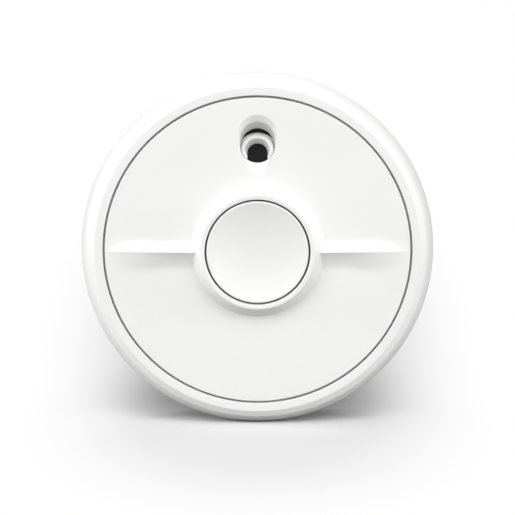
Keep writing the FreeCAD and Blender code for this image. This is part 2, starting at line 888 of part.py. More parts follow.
def build_outer_shell():
    """The ring-shaped outer case, with a ledge for the cover and three screw posts."""
    shell = new_body("outer_shell")
    bevel_radius = rim_radius + s.bevel_width
    bevel_level = s.face_level - s.bevel_depth
    widest = s.face_level - s.shoulder_depth
    rear_outer = s.shell_radius - s.shell_draft
    profile = [
        (opening_radius, s.face_level),
        (opening_radius, ledge_top),
        (ledge_inner, ledge_top),
        (ledge_inner, ledge_bottom),
        (bevel_radius - s.shell_wall / 2, ledge_bottom),
        (s.shell_radius - s.shell_wall, widest),
        (rear_inner, shell_rear),
        (rear_outer, shell_rear),
        (s.shell_radius, widest, s.shoulder_arc),
        (bevel_radius, bevel_level),
        (rim_radius, s.face_level),
    ]
    revolve(shell, "case", profile)
    x, y = around(s.screw_angle, screw_circle)
    thread = s.screw_length - s.screw_web + s.overlap
    solid_sketch = new_sketch(shell, "post_root_outline", "XY_Plane", (0, 0, flange_top + thread))
    circle(solid_sketch, s.post_radius, x, y)
    solid = pad(shell, "post_root", solid_sketch, ledge_bottom - flange_top - thread + s.overlap)
    hollow_sketch = new_sketch(shell, "post_outline", "XY_Plane", (0, 0, flange_top))
    circle(hollow_sketch, s.post_radius, x, y)
    circle(hollow_sketch, s.screw_shank + s.touch_gap / 2, x, y)
    hollow = pad(shell, "post", hollow_sketch, thread)
    ring_pattern(shell, "posts", [solid, hollow], 3)
    round_rings(shell, "opening_round", s.edge_round, [(opening_radius, s.face_level)])
    return shell


# The face


def egg(sketch, half, top, tip, tip_radius, side_radius, flank):
    """An egg with its round end up: its flanks lean inwards by an angle and end in a small round tip."""
    across, up = cosine(flank), sine(flank)
    level = tip_radius - up * (tip + tip_radius)
    side_middle = (across * (half - side_radius) + side_radius - level) / up
    flank_x = half - side_radius + side_radius * across
    flank_y = side_middle - side_radius * up
    foot_x = tip_radius * across
    foot_y = tip + tip_radius - tip_radius * up
    outline(
        sketch,
        [
            (half, top - half, half),
            (-half, top - half),
            (-half, side_middle, side_radius),
            (-flank_x, flank_y),
            (-foot_x, foot_y, tip_radius),
            (foot_x, foot_y),
            (flank_x, flank_y, side_radius),
            (half, side_middle),
        ],
    )


def scoop_sketch(body, name, tilt, along=0):
    """A sketch whose middle is the scoop's lower tip, leaning inwards by an angle, moved along its normal."""
    y = scoop_tip + along * sine(tilt)
    z = s.face_level + along * cosine(tilt)
    return new_sketch(body, name, "XY_Plane", (0, y, z), Vector(1, 0, 0), -as_size(tilt))


def hole_outline(sketch, inset):
    """The hole round the spout, drawn smaller by an inset: two round ends with short sides."""
    high = scoop_length * s.floor_top_share - hole_half
    edge = hole_half - inset
    outline(
        sketch,
        [
            (edge, high, edge),
            (-edge, high),
            (-edge, hole_low, edge),
            (edge, hole_low),
        ],
    )


def bore_outline(sketch):
    """The spout's bore: a round top, straight sides and a shallow round bottom along the hole's edge."""
    rim = hole_half - s.overlap
    top = spout_place - scoop_length * s.bore_drop_share
    low = hole_low - root(rim * rim - spout_bore * spout_bore)
    outline(
        sketch,
        [
            (spout_bore, top, spout_bore),
            (-spout_bore, top),
            (-spout_bore, low, rim),
            (spout_bore, low),
        ],
    )


def build_front_cover():
    cover = new_body("front_cover")
    well_outer = button_bore + s.well_wall
    stem_hole = s.stem_radius + s.fit_gap
    profile = [
        (button_bore, ring_top),
        (button_bore, well_top),
        (stem_hole, well_top),
        (stem_hole, well_bottom),
        (well_outer, well_bottom),
        (well_outer, ledge_top),
        (cover_radius, ledge_top),
        (cover_radius, s.face_level),
        (ring_foot, s.face_level),
        (ring_radius, ring_top),
    ]
    revolve(cover, "disc", profile)
    round_rings(cover, "ring_foot", s.ring_foot_round, [(ring_foot, s.face_level)])
    round_rings(cover, "ring_edge", s.ring_edge_round, [(ring_radius, ring_top)])
    round_rings(cover, "fine_edges", s.edge_round, [(button_bore, ring_top), (cover_radius, s.face_level)])
    build_ridges(cover)
    build_scoop(cover)
    build_leg_slots(cover)
    build_snap_hooks(cover)
    return cover


def ridge_section(cover, name, distance, height):
    """One section of a ridge: hollow flanks that run out level on the face."""
    section = new_sketch(cover, name, "YZ_Plane", (0, 0, distance))
    rise = height + s.ridge_sink
    low = s.face_level - s.ridge_sink
    upper, lower = s.ridge_upper_width, s.ridge_lower_width
    upper_arc = (upper * upper + rise * rise) / (rise * 2)
    lower_arc = (lower * lower + rise * rise) / (rise * 2)
    crest = -s.ridge_offset
    outline(
        section,
        [
            (crest - lower, low),
            (crest + upper, low, -upper_arc),
            (crest, low + rise, -lower_arc),
        ],
    )
    return section


def build_ridges(cover):
    """A sharp ridge on each side of the button, falling away towards the cover's edge."""
    near = ridge_section(cover, "ridge_near", ring_radius - s.ridge_root, s.ridge_height)
    far = ridge_section(cover, "ridge_far", cover_radius - s.ridge_margin, s.ridge_end_height)
    ridge = loft(cover, "ridge", [near, far])
    mirror(cover, "ridges", [ridge], "YZ_Plane")


def build_scoop(cover):
    """The egg-shaped mouth of the horn: a soft lip, steep walls and a ramp up to the spout's rim."""
    whole = scoop_length
    half = whole * s.mouth_half_share
    corner = whole * s.mouth_corner_share
    side = whole * s.mouth_side_share
    cup = scoop_sketch(cover, "cup_outline", as_size(0), cup_bottom - s.face_level)
    egg(cup, half + s.cup_wall, whole - s.cup_wall, as_size(0), corner, side, s.scoop_flank)
    pad(cover, "cup", cup, ledge_top - cup_bottom + s.overlap)
    mouth = scoop_sketch(cover, "scoop_mouth", as_size(0))
    egg(mouth, half, whole, as_size(0), corner, side, s.scoop_flank)
    lip = scoop_sketch(cover, "scoop_lip", s.lip_tilt)
    egg(
        lip,
        whole * s.lip_half_share,
        whole * s.lip_top_share,
        whole * s.lip_tip_share,
        whole * s.lip_corner_share,
        whole * s.lip_side_share,
        s.scoop_flank,
    )
    floor = scoop_sketch(cover, "scoop_floor", s.spout_tilt)
    egg(
        floor,
        whole * s.floor_half_share,
        whole * s.floor_top_share,
        whole * s.floor_tip_share,
        whole * s.floor_corner_share,
        whole * s.floor_side_share,
        s.scoop_flank,
    )
    loft(cover, "scoop", [mouth, lip, floor], cut=True)
    hole = scoop_sketch(cover, "spout_hole_outline", s.spout_tilt)
    hole_outline(hole, as_size(0))
    pocket(cover, "spout_hole", hole, s.cup_depth)


def build_leg_slots(cover):
    """Slots in the well's floor for the button's guide legs."""
    slots = new_sketch(cover, "leg_slot_outline", "XY_Plane", (0, 0, well_top), turn=s.screw_angle)
    reach = s.leg_thickness / 2 + s.fit_gap
    half = s.leg_width / 2 + s.fit_gap
    rectangle(slots, s.leg_circle - reach, s.leg_circle + reach, -half, half)
    slot = pocket(cover, "leg_slot", slots, s.well_wall + s.overlap)
    ring_pattern(cover, "leg_slots", [slot], s.leg_count)


def build_snap_hooks(cover):
    """Hooks under the cover that snap below the shell's ledge."""
    outer = ledge_inner - s.fit_gap
    inner = outer - s.hook_thickness
    barb_top = ledge_bottom - s.touch_gap
    bottom = barb_top - s.hook_barb_height
    hook = [
        (inner, bottom),
        (outer, bottom),
        (outer + s.hook_barb, barb_top),
        (outer, barb_top),
        (outer, ledge_top + s.overlap),
        (inner, ledge_top + s.overlap),
    ]
    hooks = revolve(cover, "snap_hook", hook, s.hook_angle, -s.hook_angle / 2)
    ring_pattern(cover, "snap_hooks", [hooks], s.hook_count)


def build_test_button():
    """A dished button with a stem over the test switch and three snap-in guide legs."""
    button = new_body("test_button")
    rim = s.button_radius - s.dish_margin
    arc = (rim * rim + s.dish_depth * s.dish_depth) / (s.dish_depth * 2)
    under = ring_top - s.dish_depth - s.button_wall
    skirt = ring_top - s.skirt_depth
    profile = [
        (0, stem_bottom),
        (s.stem_radius, stem_bottom),
        (s.stem_radius, under),
        (s.button_radius - s.button_wall, under),
        (s.button_radius - s.button_wall, skirt),
        (s.button_radius, skirt),
        (s.button_radius, ring_top - s.dish_margin, s.dish_margin),
        (rim, ring_top, -arc),
        (0, ring_top - s.dish_depth),
    ]
    revolve(button, "cap", profile)
    half = s.leg_width / 2
    legs = new_sketch(
        button,
        "leg_profile",
        "XZ_Plane",
        (-half * sine(s.screw_angle), 0, -half * cosine(s.screw_angle)),
        Vector(0, 1, 0),
        s.screw_angle,
    )
    inner = s.leg_circle - s.leg_thickness / 2
    outer = s.leg_circle + s.leg_thickness / 2
    barb_top = well_bottom - s.touch_gap
    bottom = barb_top - s.leg_barb_height
    outline(
        legs,
        [
            (inner, bottom),
            (outer, bottom),
            (outer + s.leg_barb, barb_top),
            (outer, barb_top),
            (outer, under + s.overlap),
            (inner, under + s.overlap),
        ],
    )
    leg = pad(button, "leg", legs, s.leg_width)
    ring_pattern(button, "legs", [leg], s.leg_count)
    return button


# The horn


def spout_point(along):
    """The place at a distance along the spout's axis, measured outwards from the middle of its mouth."""
    y = scoop_tip + spout_place * cosine(s.spout_tilt) + along * sine(s.spout_tilt)
    z = s.face_level - spout_place * sine(s.spout_tilt) + along * cosine(s.spout_tilt)
    return as_size(0), y, z


def tilted(made, along):
    """Lays a turned piece on the spout's axis."""
    made.Placement.Rotation = FreeCAD.Rotation(Vector(1, 0, 0), -s.spout_tilt.value)
    bind(made, "Placement.Rotation.Angle", -s.spout_tilt)
    bind_place(made, "Placement", spout_point(along))
    return made


spout_drop = (spout_point(0)[2] - horn_top) / cosine(s.spout_tilt)
spout_foot_y = spout_point(-spout_drop)[1]
horn_middle = spout_foot_y - s.horn_offset
gauze_bottom = s.spout_flare + s.gauze_thickness


def build_horn_nozzle():
    """The spout from the horn to the cover: a leaning tube with a flared mouth and a flat foot."""
    tail = spout_radius
    foot_radius = scoop_length * s.spout_foot_share
    origin = (0, 0, 0)
    tube = tilted(cylinder("spout_tube", spout_radius, spout_drop + tail, origin), -spout_drop - tail)
    foot = cylinder("spout_foot_disc", foot_radius, s.spout_foot_thickness, (0, spout_foot_y, horn_top))
    body = fuse("spout_solid", [tube, foot])
    narrow = spout_bore - s.gauze_seat
    throat = tilted(cylinder("spout_throat", narrow, spout_drop + tail * 2, origin), -spout_drop - tail)
    bore = new_body("spout_bore")
    bore_sketch = scoop_sketch(bore, "spout_bore_outline", s.spout_tilt, -gauze_bottom)
    bore_outline(bore_sketch)
    pad(bore, "bore", bore_sketch, gauze_bottom * 2)
    flare = doc.addObject("Part::Cone", "spout_flare")
    bind(flare, "Radius1", spout_bore)
    bind(flare, "Radius2", spout_mouth)
    bind(flare, "Height", s.spout_flare)
    tilted(flare, -s.spout_flare)
    wide = foot_radius * 4
    below = box("below_horn", (wide, wide, wide), (0, spout_foot_y, horn_top - wide))
    keep = new_body("spout_window")
    window = scoop_sketch(keep, "spout_window_outline", s.spout_tilt, -s.cup_depth * 2)
    hole_outline(window, s.overlap)
    pad(keep, "window", window, s.cup_depth * 4)
    around_hole = box("beside_hole", (wide, wide, wide), (0, spout_foot_y, cup_bottom - s.touch_gap))
    trim = cut("spout_trim", around_hole, [keep])
    return cut("horn_nozzle_solid", body, [throat, bore, flare, below, trim])


def build_horn_gauze():
    gauze = new_body("horn_gauze")
    sheet = scoop_sketch(gauze, "gauze_outline", s.spout_tilt, -gauze_bottom)
    bore_outline(sheet)
    pad(gauze, "sheet", sheet, s.gauze_thickness)
    return gauze


def build_horn_body():
    """A round chamber over the sounder, with its throat hole under the spout."""
    horn = new_body("horn_body")
    inner = s.horn_radius - s.horn_wall
    roof = s.horn_height - s.horn_wall
    profile = [
        (0, roof),
        (s.horn_throat, roof),
        (s.horn_throat, s.piezo_level),
        (inner, s.piezo_level),
        (inner, 0),
        (s.horn_radius, 0),
        (s.horn_radius, s.horn_height),
        (0, s.horn_height),
    ]
    revolve(horn, "chamber", profile)
    hole = new_sketch(horn, "throat_outline", "XY_Plane", (0, 0, s.horn_height))
    circle(hole, spout_bore - s.gauze_seat, 0, s.horn_offset)
    pocket(horn, "throat", hole, s.horn_wall + s.overlap)
    round_rings(horn, "horn_edge", s.ring_edge_round, [(s.horn_radius, s.horn_height)])
    return horn


def build_piezo_contacts():
    """Three sprung strips from the board to the sounder disc."""
    pieces = []
    brass = s.piezo_level - s.piezo_thickness
    ceramic = brass - s.ceramic_thickness
    middle_radius = (s.ceramic_radius + s.piezo_radius) / 2
    for name, angle, distance, top in (
        ("outer", 200, middle_radius, brass),
        ("inner", 270, s.ceramic_radius / 2, ceramic),
        ("sense", 340, s.ceramic_radius / 2, ceramic),
    ):
        x, y = around(angle, distance)
        foot = box(name + "_foot", (s.strip_thickness * 6, s.strip_width / 2, s.strip_thickness), (x, y, 0))
        stalk = box(name + "_stalk", (s.strip_thickness, s.strip_width / 2, top), (x, y, 0))
        tip = box(
            name + "_tip",
            (s.strip_thickness * 4, s.strip_width / 2, s.strip_thickness),
            (x, y, top - s.strip_thickness),
        )
        pieces.append(fuse(name + "_contact", [foot, stalk, tip]))
    return group("contacts", pieces)


# The smoke chamber


def build_chamber_tray():
    """The chamber's floor, with a low wall inside the screen."""
    tray = new_body("chamber_tray")
    wall_outer = vane_circle - s.vane_length / 2
    wall_inner = wall_outer - s.vane_thickness / 2
    wall_top = s.tray_thickness * 2
    profile = [
        (0, 0),
        (chamber_radius, 0),
        (chamber_radius, s.tray_thickness),
        (wall_outer, s.tray_thickness),
        (wall_outer, wall_top),
        (wall_inner, wall_top),
        (wall_inner, s.tray_thickness),
        (0, s.tray_thickness),
    ]
    revolve(tray, "tray", profile)
    return tray


def build_chamber_cap():
    """The chamber's lid, with a labyrinth of slanted vanes that keeps light out and lets smoke in."""
    cap = new_body("chamber_cap")
    low = s.tray_thickness + s.touch_gap
    roof = s.tray_thickness + s.chamber_height
    top = roof + s.cap_thickness
    revolve(cap, "lid", [(0, roof), (chamber_radius, roof), (chamber_radius, top), (0, top)])
    vane_sketch = new_sketch(cap, "vane_outline", "XY_Plane", (vane_circle, 0, low), turn=s.vane_turn)
    half = s.vane_length / 2
    thick = s.vane_thickness / 2
    rectangle(vane_sketch, -half, half, -thick, thick)
    vane = pad(cap, "vane", vane_sketch, roof - low + s.overlap)
    ring_pattern(cap, "vanes", [vane], s.vane_count)
    round_rings(cap, "lid_edge", s.ring_edge_round, [(chamber_radius, top)])
    return cap


def build_insect_screen():
    """A thin perforated ring round the vanes."""
    screen = new_body("insect_screen")
    low = s.tray_thickness
    high = s.tray_thickness + s.chamber_height
    outer = chamber_radius - s.screen_inset
    inner = outer - s.screen_thickness
    revolve(screen, "band", [(inner, low), (outer, low), (outer, high), (inner, high)])
    depth = s.screen_thickness * 4
    windows = new_sketch(screen, "window_outline", "YZ_Plane", (0, 0, outer + s.screen_thickness))
    half = s.window_width / 2
    rectangle(windows, -half, half, low + s.window_margin, high - s.window_margin)
    window = pocket(screen, "window", windows, depth)
    ring_pattern(screen, "windows", [window], s.window_count)
    return screen


def build_optics(name, angle):
    """A lens in its holder on the tray, aimed at the middle of the chamber."""
    distance = vane_circle - s.holder_inset
    x, y = around(angle, distance)
    level = s.tray_thickness + s.chamber_height / 2
    height = s.chamber_height / 2 + s.lens_radius
    holder = box(name + "_holder", (s.holder_side, s.holder_side, height), (x, y, s.tray_thickness), angle)
    near_x, near_y = around(angle, distance - s.holder_side / 2 - s.lens_length)
    barrel = doc.addObject("Part::Cylinder", name + "_barrel")
    bind(barrel, "Radius", s.lens_radius)
    bind(barrel, "Height", s.lens_length + s.holder_side / 2)
    spin = FreeCAD.Rotation(Vector(0, 0, 1), angle.value) * FreeCAD.Rotation(Vector(0, 1, 0), 90)
    barrel.Placement.Rotation = spin
    bind_place(barrel, "Placement", (near_x, near_y, level))
    dome = sphere(name + "_dome", s.lens_radius, (near_x, near_y, level))
    return fuse(name + "_solid", [holder, barrel, dome])


# The circuit board and what it carries


def build_main_board():
    board = new_body("main_board")
    sheet = new_sketch(board, "sheet_outline", "XY_Plane", (0, 0, board_bottom))
    circle(sheet, board_radius)
    circle(sheet, s.pin_radius + s.fit_gap, pin_x, pin_y)
    for i in range(3):
        circle(sheet, s.board_screw_shank + s.touch_gap, *around(s.standoff_angle + 120 * i, standoff_circle))
    pad(board, "sheet", sheet, s.board_thickness)
    cut_out = new_sketch(board, "battery_cut_outline", "XY_Plane", (0, 0, board_top))
    half = s.battery_radius + s.battery_room
    end = s.battery_length / 2 + s.battery_room
    rectangle(
        cut_out,
        battery_across - half,
        battery_across + half,
        -battery_middle - end,
        -battery_middle + end,
    )
    pocket(board, "battery_cut", cut_out, s.board_thickness + s.overlap)
    return board


def build_battery():
    """A sealed lithium cell lying in the cradle, its raised terminal to the top of the face."""
    low = -battery_middle - s.battery_length / 2
    can_length = s.battery_length - s.nub_height
    up = Vector(0, 1, 0)
    can = cylinder("cell_can", s.battery_radius, can_length, (battery_across, low, battery_level), up)
    nub = cylinder("cell_nub", s.nub_radius, s.battery_length, (battery_across, low, battery_level), up)
    return fuse("cell", [can, nub])


def build_battery_strips():
    """A welded strip at each end of the cell, bent out onto the board."""
    pieces = []
    rise = battery_level + s.strip_width / 2 - board_top
    for name, side in (("upper", 1), ("lower", -1)):
        face = -battery_middle + side * (s.battery_length / 2 + s.strip_thickness / 2)
        size = (s.strip_width, s.strip_thickness, rise)
        stalk = box(name + "_strip", size, (battery_across, face, board_top))
        middle = face + side * (s.strip_foot - s.strip_thickness) / 2
        foot = box(
            name + "_strip_foot",
            (s.strip_width, s.strip_foot, s.strip_thickness),
            (battery_across, middle, board_top),
        )
        pieces.append(fuse(name + "_strip_solid", [stalk, foot]))
    return group("strips", pieces)


def build_battery_pad():
    """A foam pad between the cell and the cover."""
    top = battery_level + s.battery_radius
    size = (s.pad_width, s.pad_length, ledge_top - top)
    return box("pad_block", size, (battery_across, -battery_middle, top))


def build_test_switch():
    block = box("switch_block", (s.switch_side, s.switch_side, s.switch_height), (0, 0, board_top))
    depth = s.plunger_depth + s.button_travel + s.touch_gap
    top = board_top + s.switch_height
    bore = cylinder("switch_bore", s.plunger_radius + s.touch_gap, depth + s.overlap, (0, 0, top - depth))
    return cut("switch_case", block, [bore])


def build_test_plunger():
    low = board_top + s.switch_height - s.plunger_depth
    return cylinder("switch_plunger", s.plunger_radius, s.plunger_depth + s.plunger_rise, (0, 0, low))


def build_power_switch():
    size = (s.power_switch_side, s.power_switch_side, s.power_switch_height)
    block = box("power_block", size, (pin_x, pin_y, board_top))
    low = board_top - s.overlap
    depth = s.pin_rise + s.fit_gap + s.overlap
    bore = cylinder("power_bore", s.pin_radius + s.touch_gap, depth, (pin_x, pin_y, low))
    return cut("power_case", block, [bore])


def build_power_plunger():
    """The pin that the base lifts when the alarm is locked: it switches the alarm on."""
    start = s.pin_tip_level + s.pin_radius
    top = board_top + s.pin_rise
    tip = sphere("pin_tip", s.pin_radius, (pin_x, pin_y, start))
    shaft = cylinder("pin_shaft", s.pin_radius, top - start, (pin_x, pin_y, start))
    collar_level = floor_top + s.pin_travel + s.touch_gap
    collar = cylinder("pin_collar", s.pin_collar_radius, s.pin_collar_height, (pin_x, pin_y, collar_level))
    return fuse("pin", [tip, shaft, collar])


def build_screws(name, count, angle, distance, head, head_low, head_height, shank, shank_low, length):
    """A ring of equal screws."""
    pieces = []
    for i in range(count):
        x, y = around(angle + 360 / count * i, distance)
        cap = cylinder("%s_head_%d" % (name, i), head, head_height, (x, y, head_low))
        rod = cylinder("%s_rod_%d" % (name, i), shank, length, (x, y, shank_low))
        pieces.append(fuse("%s_%d" % (name, i), [cap, rod]))
    return group(name, pieces)


def on_board(place):
    """The x and y of a place given as shares of the board's radius."""
    return board_radius * place[0], board_radius * place[1]


def build_microcontroller():
    """A flat chip with a row of legs on two sides."""
    x, y = on_board(CHIP_PLACE)
    pieces = [box("chip_case", (s.chip_side, s.chip_side, s.chip_height), (x, y, board_top + s.chip_lift))]
    size = (s.chip_leg_length, s.chip_leg_width, s.chip_leg_height)
    reach = (s.chip_side + s.chip_leg_length) / 2 - s.touch_gap
    for i in range(SIZES["chip_leg_rows"]):
        along = y + s.chip_leg_pitch * (i - (s.chip_leg_rows - 1) / 2)
        for name, side in (("left", -1), ("right", 1)):
            pieces.append(box("chip_%s_leg_%d" % (name, i), size, (x + side * reach, along, board_top)))
    return fuse("chip", pieces)


def build_horn_coil():
    """A three-legged coil that steps up the horn's voltage."""
    x, y = on_board(COIL_PLACE)
    low = cylinder("coil_foot", s.coil_flange, s.coil_flange_height, (x, y, board_top))
    winding = cylinder("coil_winding", s.coil_radius, s.coil_height, (x, y, board_top))
    head_level = board_top + s.coil_height - s.coil_flange_height
    high = cylinder("coil_head", s.coil_flange, s.coil_flange_height, (x, y, head_level))
    return fuse("coil", [low, winding, high])


def build_capacitors():
    pieces = []
    for i, place in enumerate(CAN_PLACES):
        x, y = on_board(place)
        base = box("capacitor_base_%d" % i, (s.can_foot, s.can_foot, s.can_foot_height), (x, y, board_top))
        can = cylinder("capacitor_can_%d" % i, s.can_radius, s.can_height, (x, y, board_top))
        pieces.append(fuse("capacitor_%d" % i, [base, can]))
    return group("capacitor_group", pieces)


def build_passives():
    """Small chip resistors and capacitors, some along x and some along y."""
    pieces = []
    for name, places, size in (
        ("level", RESISTOR_PLACES, (s.resistor_length, s.resistor_width, s.resistor_height)),
        ("upright", UPRIGHT_RESISTOR_PLACES, (s.resistor_width, s.resistor_length, s.resistor_height)),
    ):
        for i, place in enumerate(places):
            x, y = on_board(place)
            pieces.append(box("%s_resistor_%d" % (name, i), size, (x, y, board_top)))
    return group("chip_parts", pieces)


def build_status_led():
    x, y = on_board(LAMP_PLACE)
    base = box("led_base", (s.resistor_length, s.resistor_width, s.lamp_base_height), (x, y, board_top))
    lens = box("led_lens", (s.lamp_lens, s.resistor_width, s.lamp_height), (x, y, board_top))
    return fuse("led", [base, lens])


def build_all():
    node("mounting_base", build_mounting_base())
    node("rear_housing", build_rear_housing())
    node("outer_shell", build_outer_shell())
    node("front_cover", build_front_cover())
    node("test_button", build_test_button())
    node("horn_nozzle", build_horn_nozzle())
    node("horn_gauze", build_horn_gauze())
    horn_place = (0, horn_middle, board_top)
    node("horn_body", build_horn_body(), horn_place)
    brass_low = s.piezo_level - s.piezo_thickness
    brass = cylinder("sounder_disc", s.piezo_radius, s.piezo_thickness, (0, 0, brass_low))
    node("piezo_disc", brass, horn_place)
    ceramic_low = brass_low - s.ceramic_thickness
    ceramic = cylinder("sounder_ceramic", s.ceramic_radius, s.ceramic_thickness, (0, 0, ceramic_low))
    node("piezo_ceramic", ceramic, horn_place)
    node("piezo_contacts", build_piezo_contacts(), horn_place)
    chamber_place = (-chamber_offset, -chamber_offset, board_top)
    node("chamber_tray", build_chamber_tray(), chamber_place)
    node("chamber_cap", build_chamber_cap(), chamber_place)
    node("insect_screen", build_insect_screen(), chamber_place)
    node("ir_emitter", build_optics("emitter", s.emitter_angle), chamber_place)
    node("photodiode", build_optics("sensor", s.sensor_angle), chamber_place)
    node("main_board", build_main_board())
    node("battery_cell", build_battery())
    node("battery_strips", build_battery_strips())
    node("battery_pad", build_battery_pad())
    node("test_switch_body", build_test_switch())
    node("test_switch_plunger", build_test_plunger())
    node("power_switch_body", build_power_switch())
    node("power_plunger", build_power_plunger())
    node("microcontroller", build_microcontroller())
    node("horn_coil", build_horn_coil())
    node("capacitors", build_capacitors())
    node("passives", build_passives())
    node("status_led", build_status_led())
    housing_screws = build_screws(
        "housing_screw",
        3,
        s.screw_angle,
        screw_circle,
        s.screw_head,
        screw_seat - s.screw_head_height,
        s.screw_head_height,
        s.screw_shank,
        screw_seat - s.overlap,
        s.screw_length + s.overlap,
    )
    node("housing_screws", housing_screws)
    board_screws = build_screws(
        "board_screw",
        3,
        s.standoff_angle,
        standoff_circle,
        s.board_screw_head,
        board_top,
        s.board_screw_head_height,
        s.board_screw_shank,
        board_top - s.board_screw_length,
        s.board_screw_length + s.overlap,
    )
    node("board_screws", board_screws)


def check_and_export():
    """Stops on anything invalid, then writes one file per piece."""
    doc.recompute()
    for thing in doc.Objects:
        if "Invalid" in thing.State or "Error" in thing.State:
            raise ValueError("%s is not valid: %s" % (thing.Name, thing.State))
    for made in nodes:
        shape = made.Shape
        if shape.isNull() or not shape.isValid():
            raise ValueError("%s has no valid shape" % made.Label)
        shape.exportStep("parts/%s.step" % made.Label)
        print("%-20s %d solids %8.1f mm3" % (made.Label, len(shape.Solids), shape.Volume))


os.makedirs("parts", exist_ok=True)
build_all()
check_and_export()
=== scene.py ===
"""Looks of a round white smoke alarm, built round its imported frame.

Shapes are drawn in millimetres with the wall at z = 0, z towards the room, y up and x to the right,
and are then stood upright in the frame's metres.
"""

import math

import bmesh
import bpy
from mathutils import Matrix, Vector
from mathutils.geometry import delaunay_2d_cdt


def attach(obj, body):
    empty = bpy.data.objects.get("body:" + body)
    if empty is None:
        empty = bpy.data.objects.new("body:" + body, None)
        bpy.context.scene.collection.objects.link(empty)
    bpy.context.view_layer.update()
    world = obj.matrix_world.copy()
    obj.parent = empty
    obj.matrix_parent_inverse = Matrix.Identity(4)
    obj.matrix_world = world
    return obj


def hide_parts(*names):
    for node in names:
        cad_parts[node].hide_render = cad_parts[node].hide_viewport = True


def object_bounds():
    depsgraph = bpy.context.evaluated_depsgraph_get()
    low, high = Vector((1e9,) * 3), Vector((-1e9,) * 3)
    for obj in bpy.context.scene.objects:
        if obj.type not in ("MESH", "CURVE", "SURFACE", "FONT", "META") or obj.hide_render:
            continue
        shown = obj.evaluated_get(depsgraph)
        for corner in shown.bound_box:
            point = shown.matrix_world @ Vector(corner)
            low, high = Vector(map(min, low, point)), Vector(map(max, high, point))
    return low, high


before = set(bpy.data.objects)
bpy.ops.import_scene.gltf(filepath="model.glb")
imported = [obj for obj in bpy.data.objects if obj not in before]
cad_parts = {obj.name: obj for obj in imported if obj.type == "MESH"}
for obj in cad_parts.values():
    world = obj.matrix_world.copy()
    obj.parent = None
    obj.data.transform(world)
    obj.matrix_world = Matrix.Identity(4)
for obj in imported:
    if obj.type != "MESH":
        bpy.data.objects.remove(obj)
cad_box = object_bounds()

# Sizes in millimetres, angles in degrees

# The face and the gap round it
FACE = 32.0
COVER_RADIUS = 55.65
OPENING_RADIUS = 56.45
COVER_BACK = 29.8
EDGE_ROUND = 0.15

# The raised boss
RING_TOP = 38.0
RING_RADIUS = 20.9
RING_DRAFT = 28.5
RING_FOOT = RING_RADIUS + (RING_TOP - FACE) * math.tan(math.radians(RING_DRAFT))
RING_FOOT_ROUND = 1.0
RING_EDGE_ROUND = 0.7

# The button and its well
BUTTON_RADIUS = 18.53
BUTTON_BORE = 19.18
BUTTON_DISH = 2.9
STEM_BOTTOM = 20.1
WELL_TOP = 29.1
WELL_BOTTOM = 27.5
WELL_WALL = 1.6
WELL_HOLE = 2.7

# The ridges: the hollow of their flanks changes between the two places of RIDGE_TURN
RIDGE_START = 20.0
RIDGE_END = 55.0
RIDGE_HEIGHT = 3.35
RIDGE_FALL = 2.2
RIDGE_SINK = 0.3
RIDGE_UPPER = 5.7
RIDGE_LOWER = 8.8
RIDGE_HOLLOW = (1.95, 1.2)
RIDGE_TURN = (31.0, 44.0)
RIDGE_CREST = -0.4
RIDGE_BLEND = 0.6

# The scoop and its spout
SCOOP_TIP = 27.2
LIP_TILT = 4.0
SPOUT_TILT = 25.0
CUP_BOTTOM = 24.0
HOLE_LOW = 11.35
SPOUT_PLACE = 10.2
SPOUT_RADIUS = 5.95
SPOUT_MOUTH = 4.5
SPOUT_BORE = 3.7
SPOUT_FLARE = 3.2
SPOUT_TAIL = -8.4
BORE_DROP = 0.09
GAUZE_THICKNESS = 0.4
GAUZE_BOTTOM = -SPOUT_FLARE - GAUZE_THICKNESS
GAUZE_PITCH = 0.5
GAUZE_THREAD = 0.11
HORN_TOP = 22.6

# The bayonet: where its three hooks begin, how far each reaches, and the collar's two radii
HOOK_TURNS = (54.0, 174.0, 294.0)
HOOK_REACH = 12.0
COLLAR = (44.2, 46.0)

# A millimetre and the reach within which corners merge, in metres, and the angle that makes an edge sharp
MM = 0.001
WELD = 1e-7
SHARP = 35.0


# Places


def stand(x, y, z):
    """A place in the drawing's millimetres, in the frame's metres."""
    return Vector((x * MM, -z * MM, y * MM))


def moved(right, up):
    """Places moved along the wall."""

    def where(x, y, z):
        return stand(x + right, y + up, z)

    return where


def spun(turn):
    """Places turned about the alarm's axis."""

    def where(x, y, z):
        right = x * math.cos(turn) - y * math.sin(turn)
        up = x * math.sin(turn) + y * math.cos(turn)
        return stand(right, up, z)

    return where


def hinged(tilt):
    """Places on a plane that leans inwards from the scoop's lower tip: across it, up it and out of it."""
    slope = math.radians(tilt)

    def where(x, y, z):
        up = SCOOP_TIP + y * math.cos(slope) + z * math.sin(slope)
        return stand(x, up, FACE - y * math.sin(slope) + z * math.cos(slope))

    return where


def leaning(x, y, z):
    """A place measured from the middle of the spout's mouth, with z along the spout."""
    return hinged(SPOUT_TILT)(x, y + SPOUT_PLACE, z)


# Outlines


def between(first, second, share):
    return [a + (b - a) * share for a, b in zip(first, second)]


def line_points(start, end, steps):
    """Points of a line, with the last one left out."""
    return [tuple(between(start, end, k / steps)) for k in range(steps)]


def arc_points(middle_x, middle_y, radius, begin, end, steps):
    """Points of an arc, with the last one left out."""
    points = []
    for k in range(steps):
        turn = math.radians(begin + (end - begin) * k / steps)
        points.append((middle_x + radius * math.cos(turn), middle_y + radius * math.sin(turn)))
    return points


def ring_points(radius, count):
    turns = [math.tau * j / count for j in range(count)]
    return [(radius * math.cos(turn), radius * math.sin(turn)) for turn in turns]


